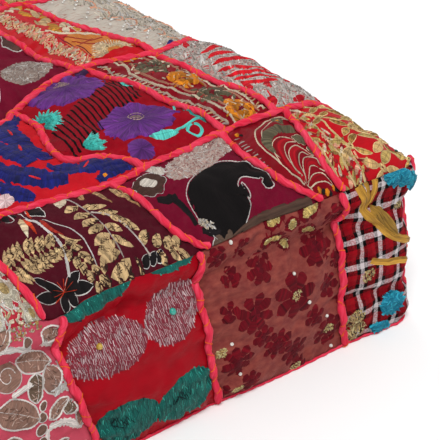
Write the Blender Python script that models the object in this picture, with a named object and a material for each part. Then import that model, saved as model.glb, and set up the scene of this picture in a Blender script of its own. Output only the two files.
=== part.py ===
"""Square patchwork floor pouf: one filled cushion with round cords sewn over its joins.

Metres, +Z up, resting on z = 0, centred on the origin. The front wall faces -Y.
"""

import bmesh
import bpy
import numpy as np
from mathutils import Vector
from mathutils.bvhtree import BVHTree

NAME = "floor_pouf"

# Cushion
HALF = 0.25            # half the side of the square, seam to seam
SEAM_Z = 0.124         # height of the top seam over the floor
CORNER = 0.055         # share of the half side that is rounded at a corner
SHOULDER = 0.025       # how far the filled top rises from its seam
SHOULDER_LEN = 0.017   # how quickly it rises
CROWN = 0.009          # slow rise on to the middle of the top
FULL_CORNER = 0.012    # extra filling behind the front right corner
SUNK_SIDE = 0.006      # how much flatter the filling is along the right side behind it
CHANNEL = 0.004        # depth of a sewn channel under a cord
CHANNEL_LEN = 0.011    # how quickly a channel opens out
PINCH = 0.003          # how far a wall cord draws the wall in
PINCH_LEN = 0.013
EDGE_DIP = 0.0025      # how far the top seam sinks where a cord meets it
RIPPLE = 0.0007        # small unevenness of the filling
CELLS = 42             # faces across one side of the cushion

# Height over the floor and how far the wall stands out there. The stitched line that makes
# the rolled top edge is the waist at 0.102.
WALL = ((0.0, 0.0015), (0.007, 0.0035), (0.030, 0.0050), (0.060, 0.0050), (0.085, 0.0030),
        (0.096, 0.0008), (0.102, 0.0), (0.108, 0.0020), (0.114, 0.0045), (0.120, 0.0045),
        (SEAM_Z, 0.0020))
EAR = ((0.0, 0.0060), (0.010, 0.0075), (0.025, 0.0062), (0.035, 0.0045), (0.050, 0.0055),
       (0.065, 0.0060), (0.080, 0.0035), (0.095, 0.0030), (0.102, 0.0045), (0.107, 0.0068),
       (0.113, 0.0082), (0.119, 0.0078), (SEAM_Z, 0.0065))
WALL_ROWS = (0.007, 0.019, 0.032, 0.046, 0.060, 0.074, 0.087, 0.0965, 0.102, 0.108, 0.114, 0.120)
EXTRA_RIGHT = 0.004    # how much fuller the right wall is near its top
FRONT_FOOT = 0.0025    # how much further the front wall's foot stands out at its right end
SAG_AT = -0.030        # the front top seam sags where this cord goes down the wall
SAG = 0.005
SAG_LEN = 0.015

# Cords
CORD_R = 0.0027
GAP = 0.0003           # clear space between a cord and the cloth it lies on
CORD_STEP = 0.013      # distance between the points of a cord
BUTT = 0.0046          # where a cross cord stops, from the middle of the cord it meets
EDGE_STOP = 0.004      # where a cord on the top stops, from the seam
WALL_CORD_Z = (0.008, 0.018, 0.030, 0.044, 0.058, 0.072, 0.085, 0.094, 0.101, 0.108, 0.115)
CORNER_CORD = "cord_right_a"   # this one stops under the rolled edge
CORNER_CORD_TOP = 0.094

# The four long cords of the top, from the left side to the right side.
LONG = {
    "cord_front_row": ((-0.246, -0.177), (-0.120, -0.171), (-0.023, -0.178), (0.016, -0.183),
                       (0.053, -0.190), (0.082, -0.185), (0.114, -0.182), (0.149, -0.180),
                       (0.199, -0.181), (0.238, -0.175), (0.246, -0.174)),
    "cord_second_row": ((-0.246, -0.058), (-0.130, -0.050), (-0.050, -0.064), (0.000, -0.078),
                        (0.041, -0.079), (0.060, -0.067), (0.092, -0.053), (0.120, -0.046),
                        (0.140, -0.045), (0.164, -0.052), (0.185, -0.060), (0.208, -0.055),
                        (0.228, -0.040), (0.246, -0.028)),
    "cord_third_row": ((-0.246, 0.088), (-0.110, 0.096), (0.020, 0.091), (0.130, 0.100),
                       (0.246, 0.098)),
    "cord_back_row": ((-0.246, 0.176), (-0.090, 0.181), (0.060, 0.175), (0.246, 0.182)),
}

# The short cords between them, each from the row line nearer the front.
CROSS = {
    "cord_r1_a": ((-0.151, -0.250), (-0.146, -0.210), (-0.148, -0.172)),
    "cord_r1_b": ((-0.043, -0.250), (-0.050, -0.222), (-0.053, -0.176)),
    "cord_r1_c": ((0.080, -0.250), (0.070, -0.244), (0.061, -0.234), (0.056, -0.206),
                  (0.050, -0.188)),
    "cord_r1_d": ((0.172, -0.250), (0.161, -0.243), (0.150, -0.232), (0.143, -0.206),
                  (0.147, -0.180)),
    "cord_r1_e": ((0.192, -0.250), (0.188, -0.236), (0.190, -0.216), (0.200, -0.181)),
    "cord_r2_a": ((-0.151, -0.172), (-0.160, -0.115), (-0.155, -0.053)),
    "cord_r2_b": ((-0.047, -0.176), (-0.060, -0.120), (-0.052, -0.064)),
    "cord_r2_c": ((0.080, -0.186), (0.077, -0.171), (0.064, -0.157), (0.045, -0.149),
                  (0.046, -0.128), (0.056, -0.098), (0.056, -0.067)),
    "cord_r2_d": ((0.149, -0.180), (0.149, -0.151), (0.144, -0.127), (0.140, -0.101),
                  (0.137, -0.073), (0.132, -0.046)),
    "cord_r2_e": ((0.194, -0.181), (0.191, -0.145), (0.185, -0.121), (0.181, -0.095),
                  (0.180, -0.060)),
    "cord_r3_a": ((-0.180, -0.053), (-0.170, 0.010), (-0.176, 0.093)),
    "cord_r3_b": ((-0.098, -0.054), (-0.088, 0.015), (-0.094, 0.096)),
    "cord_r3_c": ((-0.004, -0.078), (0.006, 0.010), (0.002, 0.092)),
    "cord_r3_d": ((0.124, -0.047), (0.120, -0.006), (0.121, 0.040), (0.125, 0.100)),
    "cord_r3_e": ((0.185, -0.060), (0.180, 0.000), (0.174, 0.050), (0.176, 0.100)),
    "cord_r4_a": ((-0.140, 0.095), (-0.148, 0.140), (-0.142, 0.180)),
    "cord_r4_b": ((-0.042, 0.094), (-0.036, 0.135), (-0.045, 0.180)),
    "cord_r4_c": ((0.062, 0.094), (0.056, 0.130), (0.060, 0.175)),
    "cord_r4_d": ((0.160, 0.101), (0.168, 0.140), (0.163, 0.179)),
    "cord_r5_a": ((-0.182, 0.178), (-0.188, 0.214), (-0.184, 0.250)),
    "cord_r5_b": ((-0.080, 0.181), (-0.074, 0.216), (-0.078, 0.250)),
    "cord_r5_c": ((0.022, 0.177), (0.016, 0.212), (0.020, 0.250)),
    "cord_r5_d": ((0.118, 0.177), (0.126, 0.214), (0.122, 0.250)),
}

# The upright cords of each wall: place along the wall, left to right seen from outside, and
# height.
UPRIGHT = {
    "front": {
        "cord_front_a": ((-0.150, 0.0), (-0.146, 0.060), (-0.152, SEAM_Z)),
        "cord_front_b": ((-0.009, 0.0), (-0.014, 0.025), (-0.023, 0.052), (-0.032, 0.084),
                         (-0.036, 0.102), (-0.030, SEAM_Z)),
        "cord_front_c": ((0.087, 0.0), (0.079, 0.028), (0.075, 0.068), (0.070, 0.100),
                         (0.071, SEAM_Z)),
        "cord_front_d": ((0.195, 0.0), (0.188, 0.038), (0.190, 0.059), (0.188, 0.099),
                         (0.192, 0.110), (0.189, SEAM_Z)),
    },
    "right": {
        "cord_right_a": ((-0.242, 0.0), (-0.243, 0.050), (-0.242, SEAM_Z)),
        "cord_right_b": ((-0.128, 0.0), (-0.133, 0.060), (-0.126, SEAM_Z)),
        "cord_right_c": ((-0.010, 0.0), (-0.004, 0.060), (-0.012, SEAM_Z)),
        "cord_right_d": ((0.108, 0.0), (0.102, 0.060), (0.107, SEAM_Z)),
    },
    "back": {
        "cord_back_a": ((-0.205, 0.0), (-0.210, 0.060), (-0.203, SEAM_Z)),
        "cord_back_b": ((-0.094, 0.0), (-0.088, 0.060), (-0.092, SEAM_Z)),
        "cord_back_c": ((0.022, 0.0), (0.017, 0.060), (0.023, SEAM_Z)),
        "cord_back_d": ((0.138, 0.0), (0.143, 0.060), (0.136, SEAM_Z)),
    },
    "left": {
        "cord_left_a": ((-0.180, 0.0), (-0.176, 0.060), (-0.182, SEAM_Z)),
        "cord_left_b": ((-0.068, 0.0), (-0.073, 0.060), (-0.066, SEAM_Z)),
        "cord_left_c": ((0.048, 0.0), (0.053, 0.060), (0.047, SEAM_Z)),
        "cord_left_d": ((0.166, 0.0), (0.161, 0.060), (0.167, SEAM_Z)),
    },
}

# Soft folds: start, end, half width, and height (a trough is below zero).
TOP_FOLDS = (
    (0.203, -0.246, 0.246, -0.206, 0.0075, -0.0035),
    (0.196, -0.240, 0.214, -0.204, 0.0060, -0.0016),
    (0.198, -0.246, 0.232, -0.222, 0.0060, 0.0016),
    (0.240, -0.160, 0.222, -0.120, 0.0080, -0.0018),
    (0.228, -0.095, 0.246, -0.080, 0.0080, -0.0020),
    (0.060, -0.246, 0.074, -0.214, 0.0080, -0.0016),
    (-0.034, -0.246, -0.020, -0.222, 0.0080, -0.0016),
    (-0.235, -0.240, -0.205, -0.205, 0.0080, -0.0030),
    (0.235, 0.240, 0.205, 0.204, 0.0080, -0.0030),
    (-0.236, 0.238, -0.204, 0.208, 0.0080, -0.0030),
    (-0.120, 0.020, -0.080, 0.045, 0.0120, -0.0014),
)
WALL_FOLDS = {
    "front": (
        (-0.030, 0.1000, 0.014, 0.1060, 0.0045, -0.0030),
        (0.014, 0.1060, 0.064, 0.1010, 0.0045, -0.0024),
        (-0.020, 0.0930, 0.030, 0.0960, 0.0050, 0.0012),
        (0.072, 0.1010, 0.124, 0.1170, 0.0045, -0.0022),
        (0.150, 0.0960, 0.183, 0.1010, 0.0060, -0.0018),
        (0.088, 0.0150, 0.118, 0.0320, 0.0045, -0.0020),
        (0.086, 0.0280, 0.112, 0.0420, 0.0050, 0.0012),
        (0.150, 0.0420, 0.184, 0.0620, 0.0070, -0.0014),
        (0.190, 0.1010, 0.236, 0.1080, 0.0045, -0.0030),
        (0.196, 0.0960, 0.232, 0.0600, 0.0060, -0.0020),
        (0.206, 0.1000, 0.244, 0.0800, 0.0050, 0.0016),
        (0.198, 0.0420, 0.236, 0.0300, 0.0060, -0.0020),
        (0.214, 0.0060, 0.222, 0.0300, 0.0060, -0.0022),
        (0.230, 0.0050, 0.236, 0.0260, 0.0050, -0.0022),
        (-0.145, 0.1020, -0.090, 0.1050, 0.0050, -0.0024),
        (-0.090, 0.1050, -0.042, 0.1000, 0.0050, -0.0026),
    ),
    "right": (
        (-0.230, 0.1010, -0.170, 0.1060, 0.0050, -0.0026),
        (-0.125, 0.1010, -0.050, 0.1060, 0.0050, -0.0024),
        (0.000, 0.1000, 0.060, 0.1060, 0.0050, -0.0024),
        (0.110, 0.1010, 0.200, 0.1040, 0.0050, -0.0024),
        (-0.210, 0.0300, -0.180, 0.0600, 0.0070, -0.0016),
    ),
    "back": (
        (-0.190, 0.1020, -0.120, 0.1060, 0.0050, -0.0024),
        (-0.080, 0.1000, -0.010, 0.1050, 0.0050, -0.0024),
        (0.040, 0.1050, 0.120, 0.1010, 0.0050, -0.0024),
        (0.150, 0.1010, 0.220, 0.1040, 0.0050, -0.0024),
        (0.080, 0.0300, 0.120, 0.0480, 0.0070, -0.0016),
    ),
    "left": (
        (-0.170, 0.1010, -0.090, 0.1060, 0.0050, -0.0024),
        (-0.060, 0.1000, 0.030, 0.1050, 0.0050, -0.0024),
        (0.060, 0.1050, 0.150, 0.1010, 0.0050, -0.0024),
        (-0.030, 0.0250, 0.010, 0.0500, 0.0070, -0.0016),
    ),
}

CLOTH_COLOUR = (0.42, 0.03, 0.05, 1.0)
CORD_COLOUR = (0.80, 0.03, 0.07, 1.0)


def smooth_path(points, parts=8):
    """A soft curve through every waypoint, as a dense polyline."""
    pts = np.array(points, dtype=float)
    pts = np.vstack((2 * pts[0] - pts[1], pts, 2 * pts[-1] - pts[-2]))
    out = []
    for i in range(1, len(pts) - 2):
        for u in np.linspace(0.0, 1.0, parts, endpoint=False):
            a = 2 * pts[i]
            b = (pts[i + 1] - pts[i - 1]) * u
            c = (2 * pts[i - 1] - 5 * pts[i] + 4 * pts[i + 1] - pts[i + 2]) * u ** 2
            d = (3 * pts[i] - pts[i - 1] - 3 * pts[i + 1] + pts[i + 2]) * u ** 3
            out.append(0.5 * (a + b + c + d))
    out.append(pts[-2])
    return np.array(out)


def path_distance(x, y, path):
    """Distance from each point to a polyline."""
    best = np.full(np.shape(x), 1.0)
    for (x0, y0), (x1, y1) in zip(path[:-1], path[1:]):
        dx = x1 - x0
        dy = y1 - y0
        u = np.clip(((x - x0) * dx + (y - y0) * dy) / (dx * dx + dy * dy), 0.0, 1.0)
        best = np.minimum(best, np.hypot(x - x0 - u * dx, y - y0 - u * dy))
    return best


def fold(x, y, spec):
    """Height of one soft fold."""
    x0, y0, x1, y1, width, height = spec
    away = path_distance(x, y, np.array(((x0, y0), (x1, y1))))
    return height * np.exp(-(away / width) ** 2)


LONG_PATHS = {name: smooth_path(points) for name, points in LONG.items()}
CROSS_PATHS = {name: smooth_path(points) for name, points in CROSS.items()}
UPRIGHT_PATHS = {side: {name: smooth_path(points) for name, points in cords.items()}
                 for side, cords in UPRIGHT.items()}


def ripple(x, y, seed):
    """Small seeded unevenness, as a few long waves."""
    rng = np.random.default_rng(seed)
    total = np.zeros(np.shape(x))
    for wave in (70.0, 110.0, 160.0):
        ax, ay = rng.uniform(-1.0, 1.0, 2) * wave
        total = total + np.sin(ax * x + ay * y + rng.uniform(0.0, 6.28))
    return RIPPLE * total


def upright_distance(side, along, z):
    """Distance along the wall to its nearest upright cord at this height."""
    best = np.full(np.shape(along), 1.0)
    for path in UPRIGHT_PATHS[side].values():
        at = np.interp(z, path[:, 1], path[:, 0])
        best = np.minimum(best, np.abs(along - at))
    return best


def wall_out(side, along, z):
    """How far a wall stands out from the square, at a place along it and a height."""
    corner = np.abs(along / HALF) ** 10
    plain = np.interp(z, [p[0] for p in WALL], [p[1] for p in WALL])
    ear = np.interp(z, [p[0] for p in EAR], [p[1] for p in EAR])
    near = np.exp(-upright_distance(side, along, z) / PINCH_LEN)
    plain = plain + PINCH * (0.4 - near) + ripple(along, 1.6 * z, 5)
    for spec in WALL_FOLDS[side]:
        plain = plain + fold(along, z, spec)
    if side == "right":
        plain = plain + EXTRA_RIGHT * (z / SEAM_Z) ** 2
    if side == "front":
        plain = plain + FRONT_FOOT * np.exp(-z / 0.03) * np.tanh((along - 0.18) / 0.03)
    return plain * (1.0 - corner) + ear * corner


def edge_dip(side, along):
    """How far the top seam sinks beside the cords of the wall under it."""
    near = np.exp(-upright_distance(side, along, np.full(np.shape(along), SEAM_Z)) / 0.02)
    dip = -EDGE_DIP * near * (1.0 - np.abs(along / HALF) ** 10)
    if side == "front":
        dip = dip - SAG * np.exp(-((along - SAG_AT) / SAG_LEN) ** 2)
    return dip


def top_height(s, t):
    """Height of the filled top at s, t, each from -1 to 1 across the cushion."""
    x = HALF * s
    y = HALF * t
    in_x = HALF - np.abs(x)
    in_y = HALF - np.abs(y)
    inside = (1 - np.exp(-in_x / SHOULDER_LEN)) * (1 - np.exp(-in_y / SHOULDER_LEN))
    z = SEAM_Z + SHOULDER * inside + CROWN * (1 - s ** 2) * (1 - t ** 2)
    full = np.exp(-((s - 0.88) / 0.32) ** 2 - ((t + 0.42) / 0.40) ** 2)
    sunk = np.exp(-((s - 0.92) / 0.34) ** 2 - ((t - 0.40) / 0.44) ** 2)
    z = z + (FULL_CORNER * full - SUNK_SIDE * sunk) * inside
    away = np.full(np.shape(x), 1.0)
    for path in list(LONG_PATHS.values()) + list(CROSS_PATHS.values()):
        away = np.minimum(away, path_distance(x, y, path))
    z = z + CHANNEL * (0.35 - np.exp(-away / CHANNEL_LEN)) * inside ** 0.5
    z = z + ripple(x, y, 3) * inside
    for spec in TOP_FOLDS:
        z = z + fold(x, y, spec) * inside
    side_x = np.where(s > 0, edge_dip("right", y), edge_dip("left", -y))
    side_y = np.where(t > 0, edge_dip("back", -x), edge_dip("front", x))
    return z + side_x * np.abs(s) ** 12 + side_y * np.abs(t) ** 12


def round_corner(s, t):
    """Turn the sharp corners of the square into soft ones."""
    u = np.clip((np.abs(s) - 1 + CORNER) / CORNER, 0.0, 1.0)
    v = np.clip((np.abs(t) - 1 + CORNER) / CORNER, 0.0, 1.0)
    round_s = np.sign(s) * (1 - CORNER + CORNER * u * np.sqrt(1 - v ** 2 / 2))
    round_t = np.sign(t) * (1 - CORNER + CORNER * v * np.sqrt(1 - u ** 2 / 2))
    return np.where(u > 0, round_s, s), np.where(v > 0, round_t, t)


def place(s, t, z, level):
    """Position of a point of the cover. level is the height its wall stand-out is read at."""
    round_s, round_t = round_corner(s, t)
    x = HALF * s
    y = HALF * t
    out_x = np.where(s > 0, wall_out("right", y, level), wall_out("left", -y, level))
    out_y = np.where(t > 0, wall_out("back", -x, level), wall_out("front", x, level))
    px = HALF * round_s + np.sign(s) * np.abs(s) ** 12 * out_x
    py = HALF * round_t + np.sign(t) * np.abs(t) ** 12 * out_y
    return np.stack((px, py, z), axis=-1)


def top_point(x, y):
    """A point of the top, from its place on the flat square."""
    s = np.asarray(x, dtype=float) / HALF
    t = np.asarray(y, dtype=float) / HALF
    return place(s, t, top_height(s, t), np.full(np.shape(s), SEAM_Z))


def wall_point(side, along, z):
    """A point of a wall, from its place along the wall and its height."""
    a = np.asarray(along, dtype=float) / HALF
    z = np.asarray(z, dtype=float)
    one = np.ones(np.shape(a))
    s, t = {"front": (a, -one), "right": (one, a), "back": (-a, one), "left": (-one, -a)}[side]
    rise = (z / SEAM_Z) ** 3 * edge_dip(side, HALF * a)
    return place(s, t, z + rise, z)


def row_place(s, row):
    """Bend the rows of the top so that one row of points runs under each long cord."""
    levels = [np.full(np.shape(s), -1.0)]
    for path in LONG_PATHS.values():
        levels.append(np.interp(HALF * s, path[:, 0], path[:, 1]) / HALF)
    levels.append(np.full(np.shape(s), 1.0))
    homes = [-1.0] + ROW_HOMES + [1.0]
    t = np.zeros(np.shape(s))
    for low, high, home, end in zip(levels[:-1], levels[1:], homes[:-1], homes[1:]):
        u = (row - home) / (end - home)
        t = np.where((row >= home - 1e-6) & (row <= end + 1e-6), low + (high - low) * u, t)
    return t


def grid_levels():
    """Even cuts across the cushion, with the cut nearest each long cord taken as its row."""
    cuts = [2.0 * i / CELLS - 1.0 for i in range(1, CELLS)]
    homes = []
    for path in LONG_PATHS.values():
        middle = float(np.mean(path[:, 1])) / HALF
        homes.append(min(cuts, key=lambda cut: abs(cut - middle)))
    return cuts, homes


def clear_scene():
    """Start from nothing."""
    for item in list(bpy.data.objects):
        bpy.data.objects.remove(item, do_unlink=True)


def make_material(name, colour, roughness):
    """One plain cloth material."""
    material = bpy.data.materials.new(name)
    material.use_nodes = True
    shader = material.node_tree.nodes["Principled BSDF"]
    shader.inputs["Base Color"].default_value = colour
    shader.inputs["Roughness"].default_value = roughness
    shader.inputs["Metallic"].default_value = 0.0
    return material


def add_object(name, data, material):
    """Link one named object with its own material."""
    item = bpy.data.objects.new(name, data)
    data.materials.append(material)
    COLLECTION.objects.link(item)
    return item


def move_vertices(mesh):
    """Turn the cut cube into the filled cushion."""
    raw = np.array([tuple(vert.co) for vert in mesh.verts])
    s = raw[:, 0]
    t = row_place(s, raw[:, 1])
    z = raw[:, 2]
    top = top_height(s, t)
    side_x = np.where(s > 0, edge_dip("right", HALF * t), edge_dip("left", -HALF * t))
    side_y = np.where(t > 0, edge_dip("back", -HALF * s), edge_dip("front", HALF * s))
    rise = np.where(np.abs(s) > 1 - 1e-6, side_x, 0.0)
    rise = rise + np.where(np.abs(t) > 1 - 1e-6, side_y, 0.0)
    height = np.where(z > SEAM_Z - 1e-6, top, z + (z / SEAM_Z) ** 3 * rise)
    points = place(s, t, height, z)
    for vert, point in zip(mesh.verts, points):
        vert.co = point


def make_cushion():
    """The filled cushion: a cube cut into a grid, then every point moved to the soft form."""
    mesh = bmesh.new()
    bmesh.ops.create_cube(mesh, size=2.0)
    for vert in mesh.verts:
        vert.co.z = SEAM_Z if vert.co.z > 0 else 0.0
    cuts = [((cut, 0, 0), (1, 0, 0)) for cut in CUTS]
    cuts += [((0, cut, 0), (0, 1, 0)) for cut in CUTS]
    cuts += [((0, 0, z), (0, 0, 1)) for z in WALL_ROWS]
    for point, normal in cuts:
        parts = list(mesh.verts) + list(mesh.edges) + list(mesh.faces)
        bmesh.ops.bisect_plane(mesh, geom=parts, dist=1e-6, plane_co=point, plane_no=normal)
    base = [face for face in mesh.faces if all(vert.co.z < 1e-6 for vert in face.verts)]
    bmesh.ops.dissolve_faces(mesh, faces=base, use_verts=False)
    loose = [vert for vert in mesh.verts if len(vert.link_faces) == 0]
    bmesh.ops.delete(mesh, geom=loose, context="VERTS")
    move_vertices(mesh)
    bmesh.ops.triangulate(mesh, faces=list(mesh.faces))
    bmesh.ops.recalc_face_normals(mesh, faces=list(mesh.faces))
    tree = BVHTree.FromBMesh(mesh)
    data = bpy.data.meshes.new("cushion")
    mesh.to_mesh(data)
    mesh.free()
    return add_object("cushion", data, make_material("cover", CLOTH_COLOUR, 0.8)), tree


def settle(tree, points, normals):
    """Lift the middle line of a round cord until it clears the cushion by GAP all along."""
    want = CORD_R + GAP
    for _ in range(60):
        lifts = [0.0] * len(points)
        for i in range(len(points) - 1):
            for share in (0.0, 0.2, 0.4, 0.6, 0.8, 1.0):
                near = tree.find_nearest(points[i].lerp(points[i + 1], share))[3]
                short = want - near
                lifts[i] = max(lifts[i], short * min(1.0, 2.0 * (1.0 - share)))
                lifts[i + 1] = max(lifts[i + 1], short * min(1.0, 2.0 * share))
        if max(lifts) < 1e-5:
            break
        points = [point + normal * lift for point, normal, lift in zip(points, normals, lifts)]
    return points


def make_cord(name, surface, path, tree):
    """A round cord along a path on the cover. surface gives the cover from the path's numbers."""
    points = []
    normals = []
    for at in path:
        point = Vector(surface(*at))
        a = Vector(surface(at[0] + 0.002, at[1])) - Vector(surface(at[0] - 0.002, at[1]))
        b = Vector(surface(at[0], at[1] + 0.002)) - Vector(surface(at[0], at[1] - 0.002))
        normal = a.cross(b).normalized()
        hit = tree.ray_cast(point + normal * 0.02, -normal)[0]
        points.append(hit + normal * CORD_R)
        normals.append(normal)
    points = settle(tree, points, normals)
    curve = bpy.data.curves.new(name, "CURVE")
    curve.dimensions = "3D"
    curve.bevel_depth = CORD_R
    curve.bevel_resolution = 1
    curve.use_fill_caps = True
    spline = curve.splines.new("POLY")
    spline.points.add(len(points) - 1)
    for control, point in zip(spline.points, points):
        control.co = (point.x, point.y, point.z, 1.0)
    return add_object(name, curve, make_material(name, CORD_COLOUR, 0.7))


def even_steps(path, step):
    """The same path with points at even steps."""
    lengths = np.hypot(np.diff(path[:, 0]), np.diff(path[:, 1]))
    run = np.concatenate(([0.0], np.cumsum(lengths)))
    count = max(int(round(run[-1] / step)), 2)
    marks = np.linspace(0.0, run[-1], count + 1)
    return np.column_stack((np.interp(marks, run, path[:, 0]), np.interp(marks, run, path[:, 1])))


def trim(path):
    """Stop a short cord before the long cords it meets and before the seam."""
    fine = even_steps(path, 0.0004)
    x = fine[:, 0]
    y = fine[:, 1]
    keep = np.maximum(np.abs(x), np.abs(y)) < HALF - EDGE_STOP
    for line in LONG_PATHS.values():
        keep = keep & (path_distance(x, y, line) > BUTT)
    return fine[keep]


def make_cords(tree):
    """Every cord, long ones first."""
    for name, path in LONG_PATHS.items():
        make_cord(name, top_point, even_steps(path, CORD_STEP), tree)
    for name, path in CROSS_PATHS.items():
        make_cord(name, top_point, even_steps(trim(path), CORD_STEP), tree)
    for side, cords in UPRIGHT_PATHS.items():
        for name, path in cords.items():
            top = CORNER_CORD_TOP if name == CORNER_CORD else SEAM_Z
            heights = [z for z in WALL_CORD_Z if z <= top]
            along = np.interp(heights, path[:, 1], path[:, 0])
            line = np.column_stack((along, heights))
            make_cord(name, lambda a, z, wall=side: wall_point(wall, a, z), line, tree)


clear_scene()
COLLECTION = bpy.data.collections.new(NAME)
bpy.context.scene.collection.children.link(COLLECTION)
CUTS, ROW_HOMES = grid_levels()
CUSHION, COVER_TREE = make_cushion()
make_cords(COVER_TREE)
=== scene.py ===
"""Looks of the square patchwork floor pouf: puffed cover, embroidered patches, sewn cords.

The cover is worked out from the same sizes as its solid. Places on the top are x and y, and
places on the wall are the run round the foot from the front left corner, and the height.
Embroidery is laid out in centimetres on the cover.
"""
import math

import bpy
import numpy as np
from mathutils import Matrix, Vector


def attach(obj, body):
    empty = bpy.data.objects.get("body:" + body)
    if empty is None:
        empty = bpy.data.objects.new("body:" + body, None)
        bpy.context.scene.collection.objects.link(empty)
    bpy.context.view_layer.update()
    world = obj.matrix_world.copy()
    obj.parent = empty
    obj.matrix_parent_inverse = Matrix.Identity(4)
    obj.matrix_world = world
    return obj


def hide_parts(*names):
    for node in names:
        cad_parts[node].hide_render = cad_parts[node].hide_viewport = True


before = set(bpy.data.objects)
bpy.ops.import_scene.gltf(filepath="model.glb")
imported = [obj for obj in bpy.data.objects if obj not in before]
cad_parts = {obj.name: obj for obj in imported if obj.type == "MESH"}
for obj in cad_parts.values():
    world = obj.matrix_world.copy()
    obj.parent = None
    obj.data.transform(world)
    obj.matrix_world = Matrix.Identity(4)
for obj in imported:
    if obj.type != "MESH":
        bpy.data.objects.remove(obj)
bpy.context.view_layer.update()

CM = 0.01
MM = 0.001
FAR = 1.0              # further than any two places on the pouf
NEAR_ZERO = 1e-9       # keeps a place on the line between two sides, and a division, safe
TINY = 1e-12
LAST = 1.001           # from the end of a grid, just before its last point
TURN = 6.28            # random phases are drawn up to this
PATH_PARTS = 8         # pieces of a smooth path between two of its points

# Cushion
HALF = 0.25            # half the side of the square, seam to seam
SIDE = 2 * HALF
SEAM_Z = 0.124         # height of the top seam over the floor
CORNER = 0.055         # share of the half side that is rounded at a corner
SHOULDER = 0.025       # how far the filled top rises from its seam
SHOULDER_LEN = 0.017   # how quickly it rises
CROWN = 0.009          # slow rise on to the middle of the top
FULL_CORNER = 0.012    # extra filling behind the front right corner
FULL_AT = (0.88, -0.42, 0.32, 0.40)    # its place on the top from -1 to 1, and its spread
SUNK_SIDE = 0.006      # how much flatter the filling is along the right side behind it
SUNK_AT = (0.92, 0.40, 0.34, 0.44)
CHANNEL = 0.004        # depth of a sewn channel under a cord
CHANNEL_LEN = 0.011    # how quickly a channel opens out
CHANNEL_MEAN = 0.35    # share of its depth that the cloth between the channels gains
PINCH = 0.003          # how far a wall cord draws the wall in
PINCH_LEN = 0.013
PINCH_MEAN = 0.4       # share of that by which the wall between the cords stands out
EDGE_DIP = 0.0025      # how far the top seam sinks where a cord meets it
EDGE_DIP_LEN = 0.02
EAR_POWER = 10         # how closely the corners' own outline keeps to the corners
RIM_POWER = 12         # how closely the stand-out of the walls keeps to the rim of the top
RIPPLE = 0.0007        # small unevenness of the filling
RIPPLES = (70.0, 110.0, 160.0)         # its waves, in radians to the metre
WAIST_Z = 0.102        # height of the stitched line under the rolled top edge

# Height over the floor and how far the wall stands out there.
WALL = ((0.0, 0.0015), (0.007, 0.0035), (0.030, 0.0050), (0.060, 0.0050), (0.085, 0.0030),
        (0.096, 0.0008), (0.102, 0.0), (0.108, 0.0020), (0.114, 0.0045), (0.120, 0.0045),
        (SEAM_Z, 0.0020))
EAR = ((0.0, 0.0060), (0.010, 0.0075), (0.025, 0.0062), (0.035, 0.0045), (0.050, 0.0055),
       (0.065, 0.0060), (0.080, 0.0035), (0.095, 0.0030), (0.102, 0.0045), (0.107, 0.0068),
       (0.113, 0.0082), (0.119, 0.0078), (SEAM_Z, 0.0065))
EXTRA_RIGHT = 0.004    # how much fuller the right wall is near its top
FRONT_FOOT = 0.0025    # how much further the front wall's foot stands out at its right end
FRONT_FOOT_AT = 0.18   # where along the wall that begins, and over what length
FRONT_FOOT_LEN = 0.03
SAG_AT = -0.030        # the front top seam sags where this cord goes down the wall
SAG = 0.005
SAG_LEN = 0.015

# The long cords of the top, from the left side to the right side.
LONG = {
    "cord_front_row": ((-0.246, -0.177), (-0.120, -0.171), (-0.023, -0.178), (0.016, -0.183),
                       (0.053, -0.190), (0.082, -0.185), (0.114, -0.182), (0.149, -0.180),
                       (0.199, -0.181), (0.238, -0.175), (0.246, -0.174)),
    "cord_second_row": ((-0.246, -0.058), (-0.130, -0.050), (-0.050, -0.064), (0.000, -0.078),
                        (0.041, -0.079), (0.060, -0.067), (0.092, -0.053), (0.120, -0.046),
                        (0.140, -0.045), (0.164, -0.052), (0.185, -0.060), (0.208, -0.055),
                        (0.228, -0.040), (0.246, -0.028)),
    "cord_third_row": ((-0.246, 0.088), (-0.110, 0.096), (0.020, 0.091), (0.130, 0.100),
                       (0.246, 0.098)),
    "cord_back_row": ((-0.246, 0.176), (-0.090, 0.181), (0.060, 0.175), (0.246, 0.182)),
}

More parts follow.
